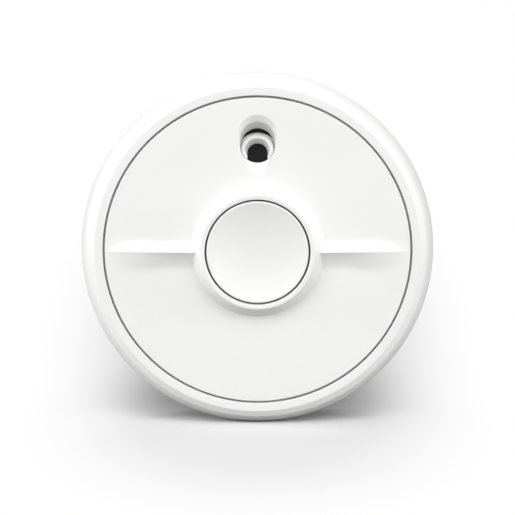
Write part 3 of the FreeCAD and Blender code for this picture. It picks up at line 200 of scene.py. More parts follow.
def rounded(corners, steps=6):
    """A closed outline whose corners (x, y, radius) are rounded; a corner (x, y) stays sharp."""
    points = []
    for i, corner in enumerate(corners):
        middle = Vector(corner[:2])
        radius = corner[2] if len(corner) > 2 else 0
        if not radius:
            points.append(tuple(middle))
            continue
        back = (Vector(corners[i - 1][:2]) - middle).normalized()
        ahead = (Vector(corners[(i + 1) % len(corners)][:2]) - middle).normalized()
        half = back.angle(ahead) / 2
        centre = middle + (back + ahead).normalized() * (radius / math.sin(half))
        reach = radius / math.tan(half)
        start = middle + back * reach - centre
        end = middle + ahead * reach - centre
        turn = math.atan2(start.x * end.y - start.y * end.x, start.dot(end))
        for k in range(steps + 1):
            spin = Matrix.Rotation(turn * k / steps, 2)
            points.append(tuple(centre + spin @ start))
    return points


def bend(start, end, radius, steps):
    """Points between two places on an arc; its centre is on the left of the way if radius > 0."""
    first, last = Vector(start), Vector(end)
    chord = last - first
    rise = math.sqrt(radius * radius - (chord.length / 2) ** 2)
    left = Vector((-chord.y, chord.x)).normalized()
    centre = (first + last) / 2 + left * math.copysign(rise, radius)
    begin = first - centre
    finish = last - centre
    turn = math.atan2(begin.x * finish.y - begin.y * finish.x, begin.dot(finish))
    return [tuple(centre + Matrix.Rotation(turn * k / steps, 2) @ begin) for k in range(1, steps)]


def inside(loop, x, y):
    """Whether a place lies inside a closed loop."""
    found = False
    for (ax, ay), (bx, by) in zip(loop, loop[1:] + loop[:1]):
        if (ay > y) != (by > y) and x < ax + (bx - ax) * (y - ay) / (by - ay):
            found = not found
    return found


# Meshes


def mesh_from(name, build):
    """A mesh with outward faces from a function that fills a bmesh."""
    made = bmesh.new()
    build(made)
    bmesh.ops.remove_doubles(made, verts=made.verts, dist=WELD)
    bmesh.ops.recalc_face_normals(made, faces=made.faces)
    mesh = bpy.data.meshes.new(name)
    made.to_mesh(mesh)
    made.free()
    return mesh


def finish_piece(name, mesh, material, body, node=None, sharp=SHARP):
    """Links a mesh as a smooth piece that rides on a body and may stand for a node."""
    mesh.materials.append(material)
    for face in mesh.polygons:
        face.use_smooth = True
    if sharp:
        mesh.set_sharp_from_angle(angle=math.radians(sharp))
    piece = bpy.data.objects.new(name, mesh)
    bpy.context.scene.collection.objects.link(piece)
    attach(piece, body)
    if node:
        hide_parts(node)
    return piece


def make_piece(name, build, material, body, node=None, sharp=SHARP):
    """A smooth piece from a function that fills a bmesh."""
    return finish_piece(name, mesh_from(name, build), material, body, node, sharp)


def add_lathe(made, profile, segments=240, start=0.0, angle=360.0, closed=True, where=stand):
    """Turns a profile of (radius, level) points about the z axis."""
    whole = abs(angle) >= 360
    count = segments if whole else segments + 1
    rings = []
    for radius, level in profile:
        if radius < 1e-6:
            pole = made.verts.new(where(0, 0, level))
            rings.append([pole] * count)
            continue
        ring = []
        for j in range(count):
            turn = math.radians(start + angle * j / segments)
            ring.append(made.verts.new(where(radius * math.cos(turn), radius * math.sin(turn), level)))
        rings.append(ring)
    pairs = len(rings) if closed else len(rings) - 1
    for i in range(pairs):
        low, high = rings[i], rings[(i + 1) % len(rings)]
        for j in range(count if whole else count - 1):
            k = (j + 1) % count
            corners = []
            for vert in (low[j], low[k], high[k], high[j]):
                if vert not in corners:
                    corners.append(vert)
            if len(corners) > 2:
                made.faces.new(corners)
    if not whole and closed:
        made.faces.new([ring[0] for ring in rings])
        made.faces.new([ring[-1] for ring in reversed(rings)])


def bridge(made, low, high):
    """Joins two closed loops of the same length with quads."""
    for j in range(len(low)):
        k = (j + 1) % len(low)
        made.faces.new((low[j], low[k], high[k], high[j]))


def add_prism(made, outline, low, high, where=stand):
    """A solid on a closed outline, between two levels."""
    ends = [[made.verts.new(where(x, y, level)) for x, y in outline] for level in (low, high)]
    bridge(made, *ends)
    for end in ends:
        made.faces.new(end)


def add_block(made, low, high, where=stand, soft=0.0):
    """A box between two corners, its edges rounded by a small bevel."""
    corners = [
        made.verts.new(where(x, y, z))
        for x in (low[0], high[0])
        for y in (low[1], high[1])
        for z in (low[2], high[2])
    ]
    faces = ((0, 1, 3, 2), (4, 6, 7, 5), (0, 4, 5, 1), (2, 3, 7, 6), (0, 2, 6, 4), (1, 5, 7, 3))
    built = [made.faces.new([corners[i] for i in face]) for face in faces]
    if soft:
        edges = list(dict.fromkeys(edge for face in built for edge in face.edges))
        bmesh.ops.bevel(made, geom=edges, offset=soft * MM, segments=2, affect="EDGES")


def cut_away(piece, tool_mesh):
    """Takes a tool's volume out of a piece for good."""
    tool = bpy.data.objects.new("tool", tool_mesh)
    bpy.context.scene.collection.objects.link(tool)
    cutter = piece.modifiers.new("cut", "BOOLEAN")
    cutter.operation = "DIFFERENCE"
    cutter.solver = "EXACT"
    cutter.object = tool
    seen = bpy.context.evaluated_depsgraph_get()
    result = bpy.data.meshes.new_from_object(piece.evaluated_get(seen))
    piece.modifiers.clear()
    piece.data = result
    bpy.data.objects.remove(tool)
    result.set_sharp_from_angle(angle=math.radians(SHARP))


class PointSet:
    """Plan points that keep a least distance from each other, sorted into square cells."""

    cell = 0.5
    merge = 1e-5

    def __init__(self):
        self.points = []
        self.cells = {}

    def near(self, x, y, least):
        """Whether a point lies closer than the least distance."""
        reach = int(least / self.cell) + 1
        cx, cy = int(x // self.cell), int(y // self.cell)
        for i in range(cx - reach, cx + reach + 1):
            for j in range(cy - reach, cy + reach + 1):
                for px, py in self.cells.get((i, j), ()):
                    if (px - x) ** 2 + (py - y) ** 2 < least * least:
                        return True
        return False

    def add(self, x, y, least=0.0):
        if least and self.near(x, y, least):
            return
        self.points.append(Vector((x, y)))
        self.cells.setdefault((int(x // self.cell), int(y // self.cell)), []).append((x, y))

    def add_loop(self, loop):
        """Adds a closed loop and returns its edges."""
        first = len(self.points)
        for x, y in loop:
            self.add(x, y)
        count = len(loop)
        return [(first + j, first + (j + 1) % count) for j in range(count)]

    def triangles(self, edges):
        """The places and faces of triangles that keep the given edges."""
        made = delaunay_2d_cdt(self.points, edges, [], 0, self.merge)
        return made[0], made[2]


def face_middle(places, face):
    """The mean of a plan face's corners."""
    x = sum(places[i].x for i in face) / len(face)
    y = sum(places[i].y for i in face) / len(face)
    return x, y


# Materials


def empty_tree(owner, output):
    """An empty node tree of a material or world, and the socket for its surface."""
    owner.use_nodes = True
    tree = owner.node_tree
    tree.nodes.clear()
    return tree, tree.nodes.new(output).inputs["Surface"]


def noise(tree, scale, detail=4.0):
    """Noise in the object's own metres."""
    place = tree.nodes.new("ShaderNodeTexCoord")
    texture = tree.nodes.new("ShaderNodeTexNoise")
    texture.inputs["Scale"].default_value = scale
    texture.inputs["Detail"].default_value = detail
    tree.links.new(place.outputs["Object"], texture.inputs["Vector"])
    return texture.outputs["Fac"]


def spread(tree, factor, low, high):
    """Maps noise to a range of numbers."""
    made = tree.nodes.new("ShaderNodeMapRange")
    made.inputs["From Min"].default_value = 0.3
    made.inputs["From Max"].default_value = 0.7
    made.inputs["To Min"].default_value = low
    made.inputs["To Max"].default_value = high
    tree.links.new(factor, made.inputs["Value"])
    return made.outputs["Result"]


def tint(tree, factor, dark, light):
    """One colour where the factor is 0 and another where it is 1."""
    made = tree.nodes.new("ShaderNodeMix")
    made.data_type = "RGBA"
    made.inputs["A"].default_value = (*dark, 1)
    made.inputs["B"].default_value = (*light, 1)
    tree.links.new(factor, made.inputs["Factor"])
    return made.outputs["Result"]


def mix_shaders(tree, factor, first, second):
    """One shader where the factor is 0 and another where it is 1."""
    mix = tree.nodes.new("ShaderNodeMixShader")
    tree.links.new(factor, mix.inputs["Fac"])
    tree.links.new(first, mix.inputs[1])
    tree.links.new(second, mix.inputs[2])
    return mix.outputs["Shader"]


def add_bump(tree, shader, height, strength, distance):
    made = tree.nodes.new("ShaderNodeBump")
    made.inputs["Strength"].default_value = strength
    made.inputs["Distance"].default_value = distance
    tree.links.new(height, made.inputs["Height"])
    tree.links.new(made.outputs["Normal"], shader.inputs["Normal"])


# Scales of the clouds and the gloss, how far the gloss varies, and the grain's depth in metres
CLOUD_SCALE = 38.0
GLOSS_SCALE = 900.0
GLOSS_RANGE = 0.05
GRAIN_DEPTH = 0.00004


def moulded(name, colour, roughness=0.42, grain=0.12, metal=0.0, variation=0.02, grain_scale=5200.0):
    """Moulded plastic or plain metal: faint cloudy colour, uneven gloss and a fine grain."""
    material = bpy.data.materials.new(name)
    tree, surface = empty_tree(material, "ShaderNodeOutputMaterial")
    shader = tree.nodes.new("ShaderNodeBsdfPrincipled")
    tree.links.new(shader.outputs["BSDF"], surface)
    dark = [c * (1 - variation) for c in colour]
    light = [min(1.0, c * (1 + variation)) for c in colour]
    clouds = tint(tree, noise(tree, CLOUD_SCALE, 3.0), dark, light)
    gloss = spread(tree, noise(tree, GLOSS_SCALE), roughness - GLOSS_RANGE, roughness + GLOSS_RANGE)
    tree.links.new(clouds, shader.inputs["Base Color"])
    tree.links.new(gloss, shader.inputs["Roughness"])
    shader.inputs["Metallic"].default_value = metal
    shader.inputs["IOR"].default_value = 1.46
    add_bump(tree, shader, noise(tree, grain_scale, 2.0), grain, GRAIN_DEPTH)
    return material


white_case = moulded("white_case", (0.86, 0.86, 0.855))
white_button = moulded("white_button", (0.85, 0.85, 0.845), roughness=0.38, grain=0.08)
white_spout = moulded("white_spout", (0.88, 0.88, 0.875), roughness=0.36, grain=0.05)
white_base = moulded("white_base", (0.84, 0.84, 0.83), roughness=0.48, grain=0.16)
black_plastic = moulded("black_plastic", (0.012, 0.012, 0.013), roughness=0.55, grain=0.15)
# Black for the horn's gauze, partly painted shade: its black stands in for the shade of the deep horn
# cavity behind the bore
black_gauze = moulded("black_gauze", (0.010, 0.010, 0.011), roughness=0.7, grain=0.2)


# The shell


def make_shell():
    """The rounded ring round the face: a flat rim, a narrow bevel, a full shoulder and a plain skirt."""
    bevel = (61.6, 30.7)
    widest = (64.5, 24.0)
    ledge_edge = COVER_RADIUS - 0.6
    ledge_top = COVER_BACK - 1.2
    profile = rounded(
        [
            (64.2, 15.5, 0.4),
            widest,
            *reversed(bend(bevel, widest, -12.0, 16)),
            (*bevel, 0.8),
            (59.4, FACE, 0.5),
            (OPENING_RADIUS, FACE, EDGE_ROUND),
            (OPENING_RADIUS, ledge_top),
            (ledge_edge, ledge_top),
            (ledge_edge, COVER_BACK),
            (53.5, COVER_BACK),
            (53.5, 28.2),
            (60.6, 28.2),
            (62.5, 24.0),
            (62.2, 15.5, 0.4),
        ]
    )

    def build(made):
        add_lathe(made, profile, segments=360)

    make_piece("shell_skin", build, white_case, "alarm_head", "outer_shell")


# The face

# The turned face from the bore to the cover's edge; its two lowest corners only lead the rounding
face_profile = rounded(
    [
        (BUTTON_BORE, FACE - 5),
        (BUTTON_BORE, RING_TOP, EDGE_ROUND),
        (RING_RADIUS, RING_TOP, RING_EDGE_ROUND),
        (RING_FOOT, FACE, RING_FOOT_ROUND),
        (COVER_RADIUS, FACE, EDGE_ROUND),
        (COVER_RADIUS, FACE - 5),
    ],
    steps=14,
)[1:-1]


def face_height(radius):
    """Height of the plain turned face, without ridges."""
    if radius <= face_profile[0][0]:
        return face_profile[0][1]
    for (near, low), (far, high) in zip(face_profile, face_profile[1:]):
        if radius <= far:
            if far - near < 1e-9:
                return high
            return low + (high - low) * (radius - near) / (far - near)
    return face_profile[-1][1]


def ridge_height(x, y):
    """Height of the ridge at a place: its flanks are hollow near the boss and nearly flat further out."""
    along = (abs(x) - RIDGE_START) / (RIDGE_END - RIDGE_START)
    width = RIDGE_UPPER if y > RIDGE_CREST else RIDGE_LOWER
    away = abs(y - RIDGE_CREST)
    low = FACE - RIDGE_SINK
    if away >= width or along >= 1 or along < -0.02:
        return low
    rise = RIDGE_SINK + RIDGE_HEIGHT * (1 - max(along, 0.0) ** RIDGE_FALL)
    turn = min(max((abs(x) - RIDGE_TURN[0]) / (RIDGE_TURN[1] - RIDGE_TURN[0]), 0.0), 1.0)
    hollow = RIDGE_HOLLOW[0] + (RIDGE_HOLLOW[1] - RIDGE_HOLLOW[0]) * turn * turn * (3 - 2 * turn)
    return low + rise * (1 - away / width) ** hollow


def soft_max(a, b, blend):
    """The higher of two heights, with the valley between them filled softly."""
    gap = max(blend - abs(a - b), 0.0) / blend
    return max(a, b) + gap * gap * blend / 4


def cover_height(x, y):
    """Height of the face at a place; on the boss the ridges run in with a wider blend."""
    plain = face_height(math.hypot(x, y))
    blend = RIDGE_SINK if plain < FACE + 0.2 else RIDGE_BLEND
    return soft_max(plain, ridge_height(x, y), blend)


def cover_normal(x, y):
    step = 0.02
    slope_x = (cover_height(x + step, y) - cover_height(x - step, y)) / (2 * step)
    slope_y = (cover_height(x, y + step) - cover_height(x, y - step)) / (2 * step)
    return Vector((-slope_x, -1.0, -slope_y)).normalized()


def egg(half, top, tip, tip_radius, side_radius, flank):
    """Points of an egg with its round end up, the same number on each of its parts."""
    across, up = math.cos(math.radians(flank)), math.sin(math.radians(flank))
    level = tip_radius - up * (tip + tip_radius)
    side_middle = (across * (half - side_radius) + side_radius - level) / up
    top_middle = top - half
    flank_x = half - side_radius + side_radius * across
    flank_y = side_middle - side_radius * up
    foot_x = tip_radius * across
    foot_y = tip + tip_radius - tip_radius * up
    return [
        *arc_points(0, top_middle, half, 0, 180, 48),
        *line_points((-half, top_middle), (-half, side_middle), 6),
        *arc_points(-half + side_radius, side_middle, side_radius, 180, 180 + flank, 12),
        *line_points((-flank_x, flank_y), (-foot_x, foot_y), 10),
        *arc_points(0, tip + tip_radius, tip_radius, 180 + flank, 360 - flank, 20),
        *line_points((foot_x, foot_y), (flank_x, flank_y), 10),
        *arc_points(half - side_radius, side_middle, side_radius, -flank, 0, 12),
        *line_points((half, side_middle), (half, top_middle), 6),
    ]


# Eggs measured from the scoop's lower tip: the mouth, the lip, the floor and the cup's outside.
# Each gives half its width, its top, its tip, the radii of tip and sides, and the flanks' angle.
MOUTH = (7.0, 22.3, 0.0, 3.2, 5.6, 30.0)
LIP = (6.4, 19.75, 0.35, 3.0, 5.0, 30.0)
FLOOR = (6.2, 18.55, 0.8, 2.6, 5.0, 30.0)
CUP_OUTSIDE = (7.8, 21.5, 0.0, 3.2, 5.6, 30.0)
BORE_RIM = FLOOR[0] - 0.08


def on_face(loop):
    return [(x, y + SCOOP_TIP) for x, y in loop]


mouth_loop = on_face(egg(*MOUTH))


def inside_mouth(x, y):
    """Whether a place lies in the scoop's mouth."""
    near = abs(x) < MOUTH[0] + 0.1 and abs(y - SCOOP_TIP - MOUTH[1] / 2) < MOUTH[1] / 2 + 0.1
    return near and inside(mouth_loop, x, y)


# The mesh's columns across a ridge, the distances of its lines from the crest, and its rings
RIDGE_COLUMNS = [22.2 + step * 0.74 for step in range(46)]
RIDGE_LINES = [0.0, 0.07, 0.18, 0.35, 0.6, 0.95, 1.4, 1.95, 2.6, 3.3, 4.0, 4.6]
RIDGE_LINES += [5.0, 5.4, 5.8, 6.3, 7.0, 7.7, 8.2, 8.6, 9.0, 9.6, 10.4]
BOSS_RINGS = [22.0, 22.6, 23.2, 27.4, 28.6]
FACE_RINGS = [30.5 + step * 1.5 for step in range(17)]


def add_ridge_points(plan):
    """Columns of points across both ridges, dense at the crest."""
    for side in (-1, 1):
        for x in RIDGE_COLUMNS:
            for offset in RIDGE_LINES:
                for sign in (-1, 1):
                    y = RIDGE_CREST + sign * offset
                    if math.hypot(x, y) < COVER_RADIUS - 0.3 and (offset or sign > 0):
                        plan.add(side * x, y, 0.05)


def add_ring_points(plan):
    """Rings of points: close on the boss and at the edge, wide on the flat face."""
    for radius, _ in face_profile[1:-1]:
        if radius < 30:
            for x, y in ring_points(radius, 240):
                plan.add(x, y, 0.05 if radius < 21.5 else 0.16)
        else:
            for x, y in ring_points(radius, 360):
                plan.add(x, y, 0.02)
    for radius in BOSS_RINGS:
        for x, y in ring_points(radius, 200):
            plan.add(x, y, 0.3)
    for radius in FACE_RINGS:
        for x, y in ring_points(radius, 150):
            if not inside_mouth(x, y):
                plan.add(x, y, 0.7)


def cover_plan():
    """Triangles of the face seen from the front, dense where it is curved."""
    plan = PointSet()
    edges = plan.add_loop(ring_points(COVER_RADIUS, 360))
    edges += plan.add_loop(ring_points(BUTTON_BORE, 240))
    edges += plan.add_loop(mouth_loop)
    add_ridge_points(plan)
    add_ring_points(plan)
    return plan.triangles(edges)


def make_face():
    """The front cover: flat disc, raised ring, two ridges and the opening of the scoop."""
    points, faces = cover_plan()
    vertices = [stand(p.x, p.y, cover_height(p.x, p.y)) for p in points]
    normals = [cover_normal(p.x, p.y) for p in points]
    kept = []
    for face in faces:
        x, y = face_middle(points, face)
        if BUTTON_BORE < math.hypot(x, y) < COVER_RADIUS and not inside_mouth(x, y):
            kept.append(list(face))
    mesh = bpy.data.meshes.new("face_cover")
    mesh.from_pydata(vertices, [], kept)
    for polygon in mesh.polygons:
        if polygon.normal.y > 0:
            polygon.flip()
    mesh.update()
    finish_piece("face_cover", mesh, white_case, "alarm_head", "front_cover", sharp=None)
    mesh.normals_split_custom_set_from_vertices(normals)


def add_underside(made):
    """The flat back of the cover, open at the button's well and the scoop's cup."""
    well = BUTTON_BORE + WELL_WALL
    cup = on_face(egg(*CUP_OUTSIDE))
    plan = PointSet()
    edges = []
    for loop in (ring_points(COVER_RADIUS, 240), ring_points(well, 240), cup):
        edges += plan.add_loop(loop)
    places, faces = plan.triangles(edges)
    verts = [made.verts.new(stand(p.x, p.y, COVER_BACK)) for p in places]
    for face in faces:
        x, y = face_middle(places, face)
        if well < math.hypot(x, y) < COVER_RADIUS and not inside(cup, x, y):
            made.faces.new([verts[i] for i in face])


def make_face_back():
    """The cover's edge, the wall of the button's well and the cover's underside round the scoop's cup."""
    edge = [(COVER_RADIUS, face_profile[-1][1]), (COVER_RADIUS, COVER_BACK)]
    well = [
        (BUTTON_BORE + WELL_WALL, COVER_BACK),
        (BUTTON_BORE + WELL_WALL, WELL_BOTTOM),
        (WELL_HOLE, WELL_BOTTOM),
        (WELL_HOLE, WELL_TOP),
        (BUTTON_BORE, WELL_TOP),
        (BUTTON_BORE, face_profile[0][1]),
    ]

    def build(made):
        for profile in (edge, well):
            add_lathe(made, profile, closed=False)
        add_underside(made)

    make_piece("face_back", build, white_case, "alarm_head")


# The scoop and its spout


def hole_loop(inset):
    """The hole round the spout, drawn smaller by an inset: two round ends with short sides."""
    edge = FLOOR[0] - inset
    high = FLOOR[1] - FLOOR[0]
    return [
        *arc_points(0, high, edge, 0, 180, 48),
        *line_points((-edge, high), (-edge, HOLE_LOW), 6),
        *arc_points(0, HOLE_LOW, edge, 180, 360, 64),
        *line_points((edge, HOLE_LOW), (edge, high), 6),
    ]


def bore_bottom(x):
    """The bore's lower edge beside the spout's axis: it follows the edge of the hole."""
    return HOLE_LOW - SPOUT_PLACE - math.sqrt(BORE_RIM**2 - x * x)


def bore_width(y):
    """Half of the bore's width at a height above the spout's axis."""
    if y > -BORE_DROP:
        return math.sqrt(max(SPOUT_BORE**2 - (y + BORE_DROP) ** 2, 0.0))
    rise = HOLE_LOW - SPOUT_PLACE - y
    return min(SPOUT_BORE, math.sqrt(max(BORE_RIM**2 - rise * rise, 0.0)))


def bore_loop():
    """The spout's bore, measured from its axis: a round top, straight sides and a shallow round bottom."""
    low = bore_bottom(SPOUT_BORE)
    across = [SPOUT_BORE * (k / 12 - 1) for k in range(24)]
    return [
        *arc_points(0, -BORE_DROP, SPOUT_BORE, 0, 180, 48),
        *line_points((-SPOUT_BORE, -BORE_DROP), (-SPOUT_BORE, low), 6),
        *[(x, bore_bottom(x)) for x in across],
        *line_points((SPOUT_BORE, low), (SPOUT_BORE, -BORE_DROP), 6),
    ]


def sunk(y, level):
    """How far out of the floor's plane a level above the wall lies, at a distance up the plane."""
    slope = math.radians(SPOUT_TILT)
    return (level - FACE + y * math.sin(slope)) / math.cos(slope)


# Shares of the way from the mouth to the lip, and from the lip to the floor
MOUTH_TO_LIP = (0.0, 0.05, 0.11, 0.18, 0.3, 0.45, 0.6, 0.75, 0.88)
LIP_TO_FLOOR = (0.0, 0.03, 0.08, 0.2, 0.4, 0.6, 0.8, 0.93, 1.0)


def scoop_rings():
    """Places of the scoop from the face down to the hole, with a softened mouth and lip."""
    mouth = [hinged(0.0)(x, y, 0.0) for x, y in egg(*MOUTH)]
    lip = [hinged(LIP_TILT)(x, y, 0.0) for x, y in egg(*LIP)]
    floor = [hinged(SPOUT_TILT)(x, y, 0.0) for x, y in egg(*FLOOR)]
    rings = []
    for high, low, shares in ((mouth, lip, MOUTH_TO_LIP), (lip, floor, LIP_TO_FLOOR)):
        for share in shares:
            rings.append([a.lerp(b, share) for a, b in zip(high, low)])
    return rings


def make_scoop():
    """The egg-shaped recess under the face: soft lip, walls, leaning floor and the hole round the spout."""

    def build(made):
        lean = hinged(SPOUT_TILT)
        hole = hole_loop(0.0)
        rings = scoop_rings()
        rings.append([lean(x, y, 0.0) for x, y in hole])
        rings.append([lean(x, y, sunk(y, CUP_BOTTOM)) for x, y in hole])
        for level in (CUP_BOTTOM, FACE - 0.6):
            rings.append([stand(x, y, level) for x, y in on_face(egg(*CUP_OUTSIDE))])
        loops = [[made.verts.new(place) for place in ring] for ring in rings]
        for low, high in zip(loops, loops[1:]):
            bridge(made, low, high)
        bridge(made, loops[-1], loops[0])

    make_piece("horn_scoop", build, white_case, "alarm_head")


def fill_bore(made):
    """The inside of the spout above its gauze."""
    add_prism(made, bore_loop(), GAUZE_BOTTOM, -GAUZE_BOTTOM, leaning)


def fill_beside_hole(made):
    """All that lies beside the hole in the scoop's floor: a wide disc with the hole left open."""
    middle, reach, top, bottom = 10, 24, 16.0, CUP_BOTTOM - 0.1
    lean = hinged(SPOUT_TILT)
    inner = hole_loop(0.2)
    outer = [(x, y + middle) for x, y in ring_points(reach, len(inner))]
    loops = []
    for outline in (inner, outer):
        loops.append([made.verts.new(lean(x, y, sunk(y, bottom))) for x, y in outline])
        loops.append([made.verts.new(lean(x, y, top)) for x, y in outline])
    inner_low, inner_high, outer_low, outer_high = loops
    bridge(made, inner_low, inner_high)
    bridge(made, outer_low, outer_high)
    bridge(made, inner_low, outer_low)
    bridge(made, inner_high, outer_high)


def fill_below_horn(made):
    """All that lies under the horn's top, where the spout ends."""
    add_block(made, (-20, 10, HORN_TOP - 20), (20, 60, HORN_TOP))


def make_spout():
    """The leaning tube: a flat bright lip, a flared throat, and sides trimmed to the scoop's hole."""
    seat = SPOUT_BORE - 0.45
    profile = rounded(
        [
            (SPOUT_RADIUS, SPOUT_TAIL),
            (SPOUT_RADIUS, 0.0, 0.2),
            (SPOUT_MOUTH, 0.0, 0.2),
            (SPOUT_BORE, -SPOUT_FLARE, 0.3),
            (SPOUT_BORE, GAUZE_BOTTOM),
            (seat, GAUZE_BOTTOM),
            (seat, SPOUT_TAIL),
        ]
    )

    def build(made):
        add_lathe(made, profile, segments=128, where=leaning)

    piece = make_piece("horn_spout", build, white_spout, "alarm_head", "horn_nozzle")
    cut_away(piece, mesh_from("spout_bore", fill_bore))
    cut_away(piece, mesh_from("beside_hole", fill_beside_hole))
    cut_away(piece, mesh_from("below_horn", fill_below_horn))


def make_spout_foot():
    """The round foot that seats the spout on the horn."""
    slope = math.radians(SPOUT_TILT)
    mouth_level = FACE - SPOUT_PLACE * math.sin(slope)
    middle = SCOOP_TIP + SPOUT_PLACE * math.cos(slope) - (mouth_level - HORN_TOP) * math.tan(slope)
    top = HORN_TOP + 1.2
    profile = rounded([(5.3, HORN_TOP), (8.2, HORN_TOP), (8.2, top, 0.3), (5.3, top)])

    def build(made):
        add_lathe(made, profile, segments=96, where=moved(0, middle))

    make_piece("spout_foot", build, white_spout, "alarm_head")


def thread_ends(offset, across):
    """Where a thread of the gauze begins and ends, by its distance from the spout's axis."""
    if across:
        reach = bore_width(offset)
        return -reach, reach
    top = math.sqrt(max(SPOUT_BORE**2 - offset * offset, 0.0)) - BORE_DROP
    return bore_bottom(offset), top


def add_thread(made, middle, lane, across):
    """One wavy thread of the gauze, over and under the threads that cross it."""
    offset = lane * GAUZE_PITCH
    begin, end = thread_ends(offset, across)
    if end - begin < GAUZE_PITCH:
        return
    steps = max(int((end - begin) / GAUZE_PITCH) * 4, 4)
    rings = []
    for k in range(steps + 1):
        along = begin + (end - begin) * k / steps
        wave = math.sin(math.pi * (along / GAUZE_PITCH + lane + int(across))) * GAUZE_THREAD * 0.8
        ring = []
        for side in range(4):
            turn = math.tau * side / 4
            u = offset + GAUZE_THREAD * math.cos(turn)
            w = middle + wave + GAUZE_THREAD * math.sin(turn)
            place = (along, u, w) if across else (u, along, w)
            ring.append(made.verts.new(leaning(*place)))
        rings.append(ring)
    for low, high in zip(rings, rings[1:]):
        bridge(made, low, high)


def make_gauze():
    """A piece of woven gauze in the spout, crossed threads on a thin sheet, coloured black as painted shade
    for the deep horn cavity behind it.
    """
    half = GAUZE_THICKNESS / 2
    middle = -SPOUT_FLARE - half

    def build(made):
        add_prism(made, bore_loop(), middle - half, middle - half / 2, leaning)
        for across, reach in ((False, SPOUT_BORE), (True, -bore_bottom(0.0))):
            count = int(reach / GAUZE_PITCH)
            for lane in range(-count, count + 1):
                add_thread(made, middle, lane, across)

    make_piece("gauze", build, black_gauze, "alarm_head", "horn_gauze")


# The button


def make_button():
    """A thin dished cap with a crisp rounded rim, its skirt, stem and guide legs."""
    dish = BUTTON_DISH
    rim = BUTTON_RADIUS - 0.5
    arc = (rim * rim + dish * dish) / (2 * dish)
    dished = []
    for radius in range(1, 18):
        dished.append((radius, RING_TOP - dish + arc - math.sqrt(arc * arc - radius * radius)))
    under = RING_TOP - dish - 1.6
    skirt = RING_TOP - 4.8
    profile = rounded(
        [
            (0, STEM_BOTTOM),
            (2.4, STEM_BOTTOM, 0.3),
            (2.4, under),
            (17.0, under),
            (17.0, skirt, 0.2),
            (BUTTON_RADIUS, skirt, 0.3),
            (BUTTON_RADIUS, RING_TOP, 0.42),
            (rim - 0.1, RING_TOP - 0.02, 0.25),
            *reversed(dished),
            (0, RING_TOP - dish),
        ]
    )

    def build(made):
        add_lathe(made, profile, closed=False)
        for angle in (30, 150, 270):
            where = spun(math.radians(angle))
            add_block(made, (11.3, -2.0, 26.3), (12.7, 2.0, under + 0.1), where, soft=0.2)

    make_piece("button_cap", build, white_button, "test_button", "test_button", sharp=30.0)


# The back: housing with its vents, and the mounting base


def make_housing():
    """Floor, vents and flange of the rear housing."""
    inner, outer = COLLAR
    vents = 60
    floor = rounded([(0, 8.0), (60.0, 8.0, 0.4), (60.0, 10.0, 0.3), (0, 10.0)])
    flange = [(57.0, 16.5, 0.3), (61.9, 16.5, 0.3), (61.9, 18.5, 0.3), (57.0, 18.5, 0.3)]
    collar = [(inner, 3.9, 0.3), (outer, 3.9, 0.3), (outer, 8.1), (inner, 8.1)]
    tab = [(45.9, 3.9, 0.2), (49.2, 3.9, 0.3), (49.2, 5.5, 0.3), (45.9, 5.5, 0.2)]

    def build(made):
        add_lathe(made, floor, closed=False)
        add_lathe(made, rounded(flange, steps=3))
        add_lathe(made, rounded(collar, steps=3))
        for i in range(vents):
            where = spun(math.tau * i / vents)
            add_block(made, (57.4, -0.65, 9.9), (59.9, 0.65, 16.6), where, soft=0.25)
        for start in HOOK_TURNS:
            add_lathe(made, rounded(tab, steps=3), segments=14, start=start, angle=HOOK_REACH)

    make_piece("vent_housing", build, white_base, "alarm_head", "rear_housing")


def make_screw_wells():
    """The pillars behind the vents that take the case screws."""
    ring = 56.2
    tube = rounded(
        [(2.6, 8.0, 0.2), (3.5, 8.0, 0.2), (3.5, 18.5, 0.2), (1.2, 18.5), (1.2, 16.0), (2.6, 16.0)]
    )

    def build(made):
        for angle in (30, 150, 270):
            turn = math.radians(angle)
            where = moved(ring * math.cos(turn), ring * math.sin(turn))
            add_lathe(made, tube, segments=40, where=where)

    make_piece("screw_wells", build, white_base, "alarm_head")


def fill_slots(made):
    """The two slots for the wall's screws: their place, half their straight part, and their radius."""
    place, half, radius = 30, 3.7, 2.3
    for side in (-1, 1):
        outline = []
        for middle, begin in ((side * place + half, -90), (side * place - half, 90)):
            for k in range(17):
                turn = math.radians(begin + 180 * k / 16)
                outline.append((middle + radius * math.cos(turn), radius * math.sin(turn)))
        add_prism(made, outline, -1, 4)


def make_base():
    """The mounting base's plate: a shallow dish with a rim and two slots."""
    dish = rounded(
        [(0, 0), (60.5, 0, 0.5), (60.5, 7.4, 0.5), (58.7, 7.4, 0.4), (58.7, 2.2, 0.8), (0, 2.2)]
    )

    def build(made):
        add_lathe(made, dish, closed=False)

    piece = make_piece("base_plate", build, white_base, "base", "mounting_base")
    cut_away(piece, mesh_from("slots", fill_slots))


def make_base_fittings():
    """What stands on the base's plate inside the alarm: the rest ring, a stiffener, hooks and stops."""
    inner, outer = COLLAR
    ring = [(inner, 2.1), (outer, 2.1), (outer, 3.8, 0.2), (inner, 3.8, 0.2)]
    stiffener = [(18.8, 2.1), (20.0, 2.1), (20.0, 3.6, 0.2), (18.8, 3.6, 0.2)]
    hook = [
        (49.5, 2.1),
        (51.5, 2.1),
        (51.5, 7.0, 0.3),
        (46.3, 7.0, 0.3),
        (46.3, 5.6, 0.3),
        (49.5, 5.6, 0.3),
    ]
    stop = [(46.3, 2.1), (51.5, 2.1), (51.5, 7.0, 0.3), (46.3, 7.0, 0.3)]

    def build(made):
        add_lathe(made, rounded(ring, steps=3))
        add_lathe(made, rounded(stiffener, steps=3), segments=160)
        for start in HOOK_TURNS:
            add_lathe(made, rounded(hook, steps=3), segments=14, start=start, angle=HOOK_REACH)
            add_lathe(made, rounded(stop, steps=3), segments=3, start=start - 2.0, angle=1.85)

    make_piece("base_fittings", build, white_base, "base")


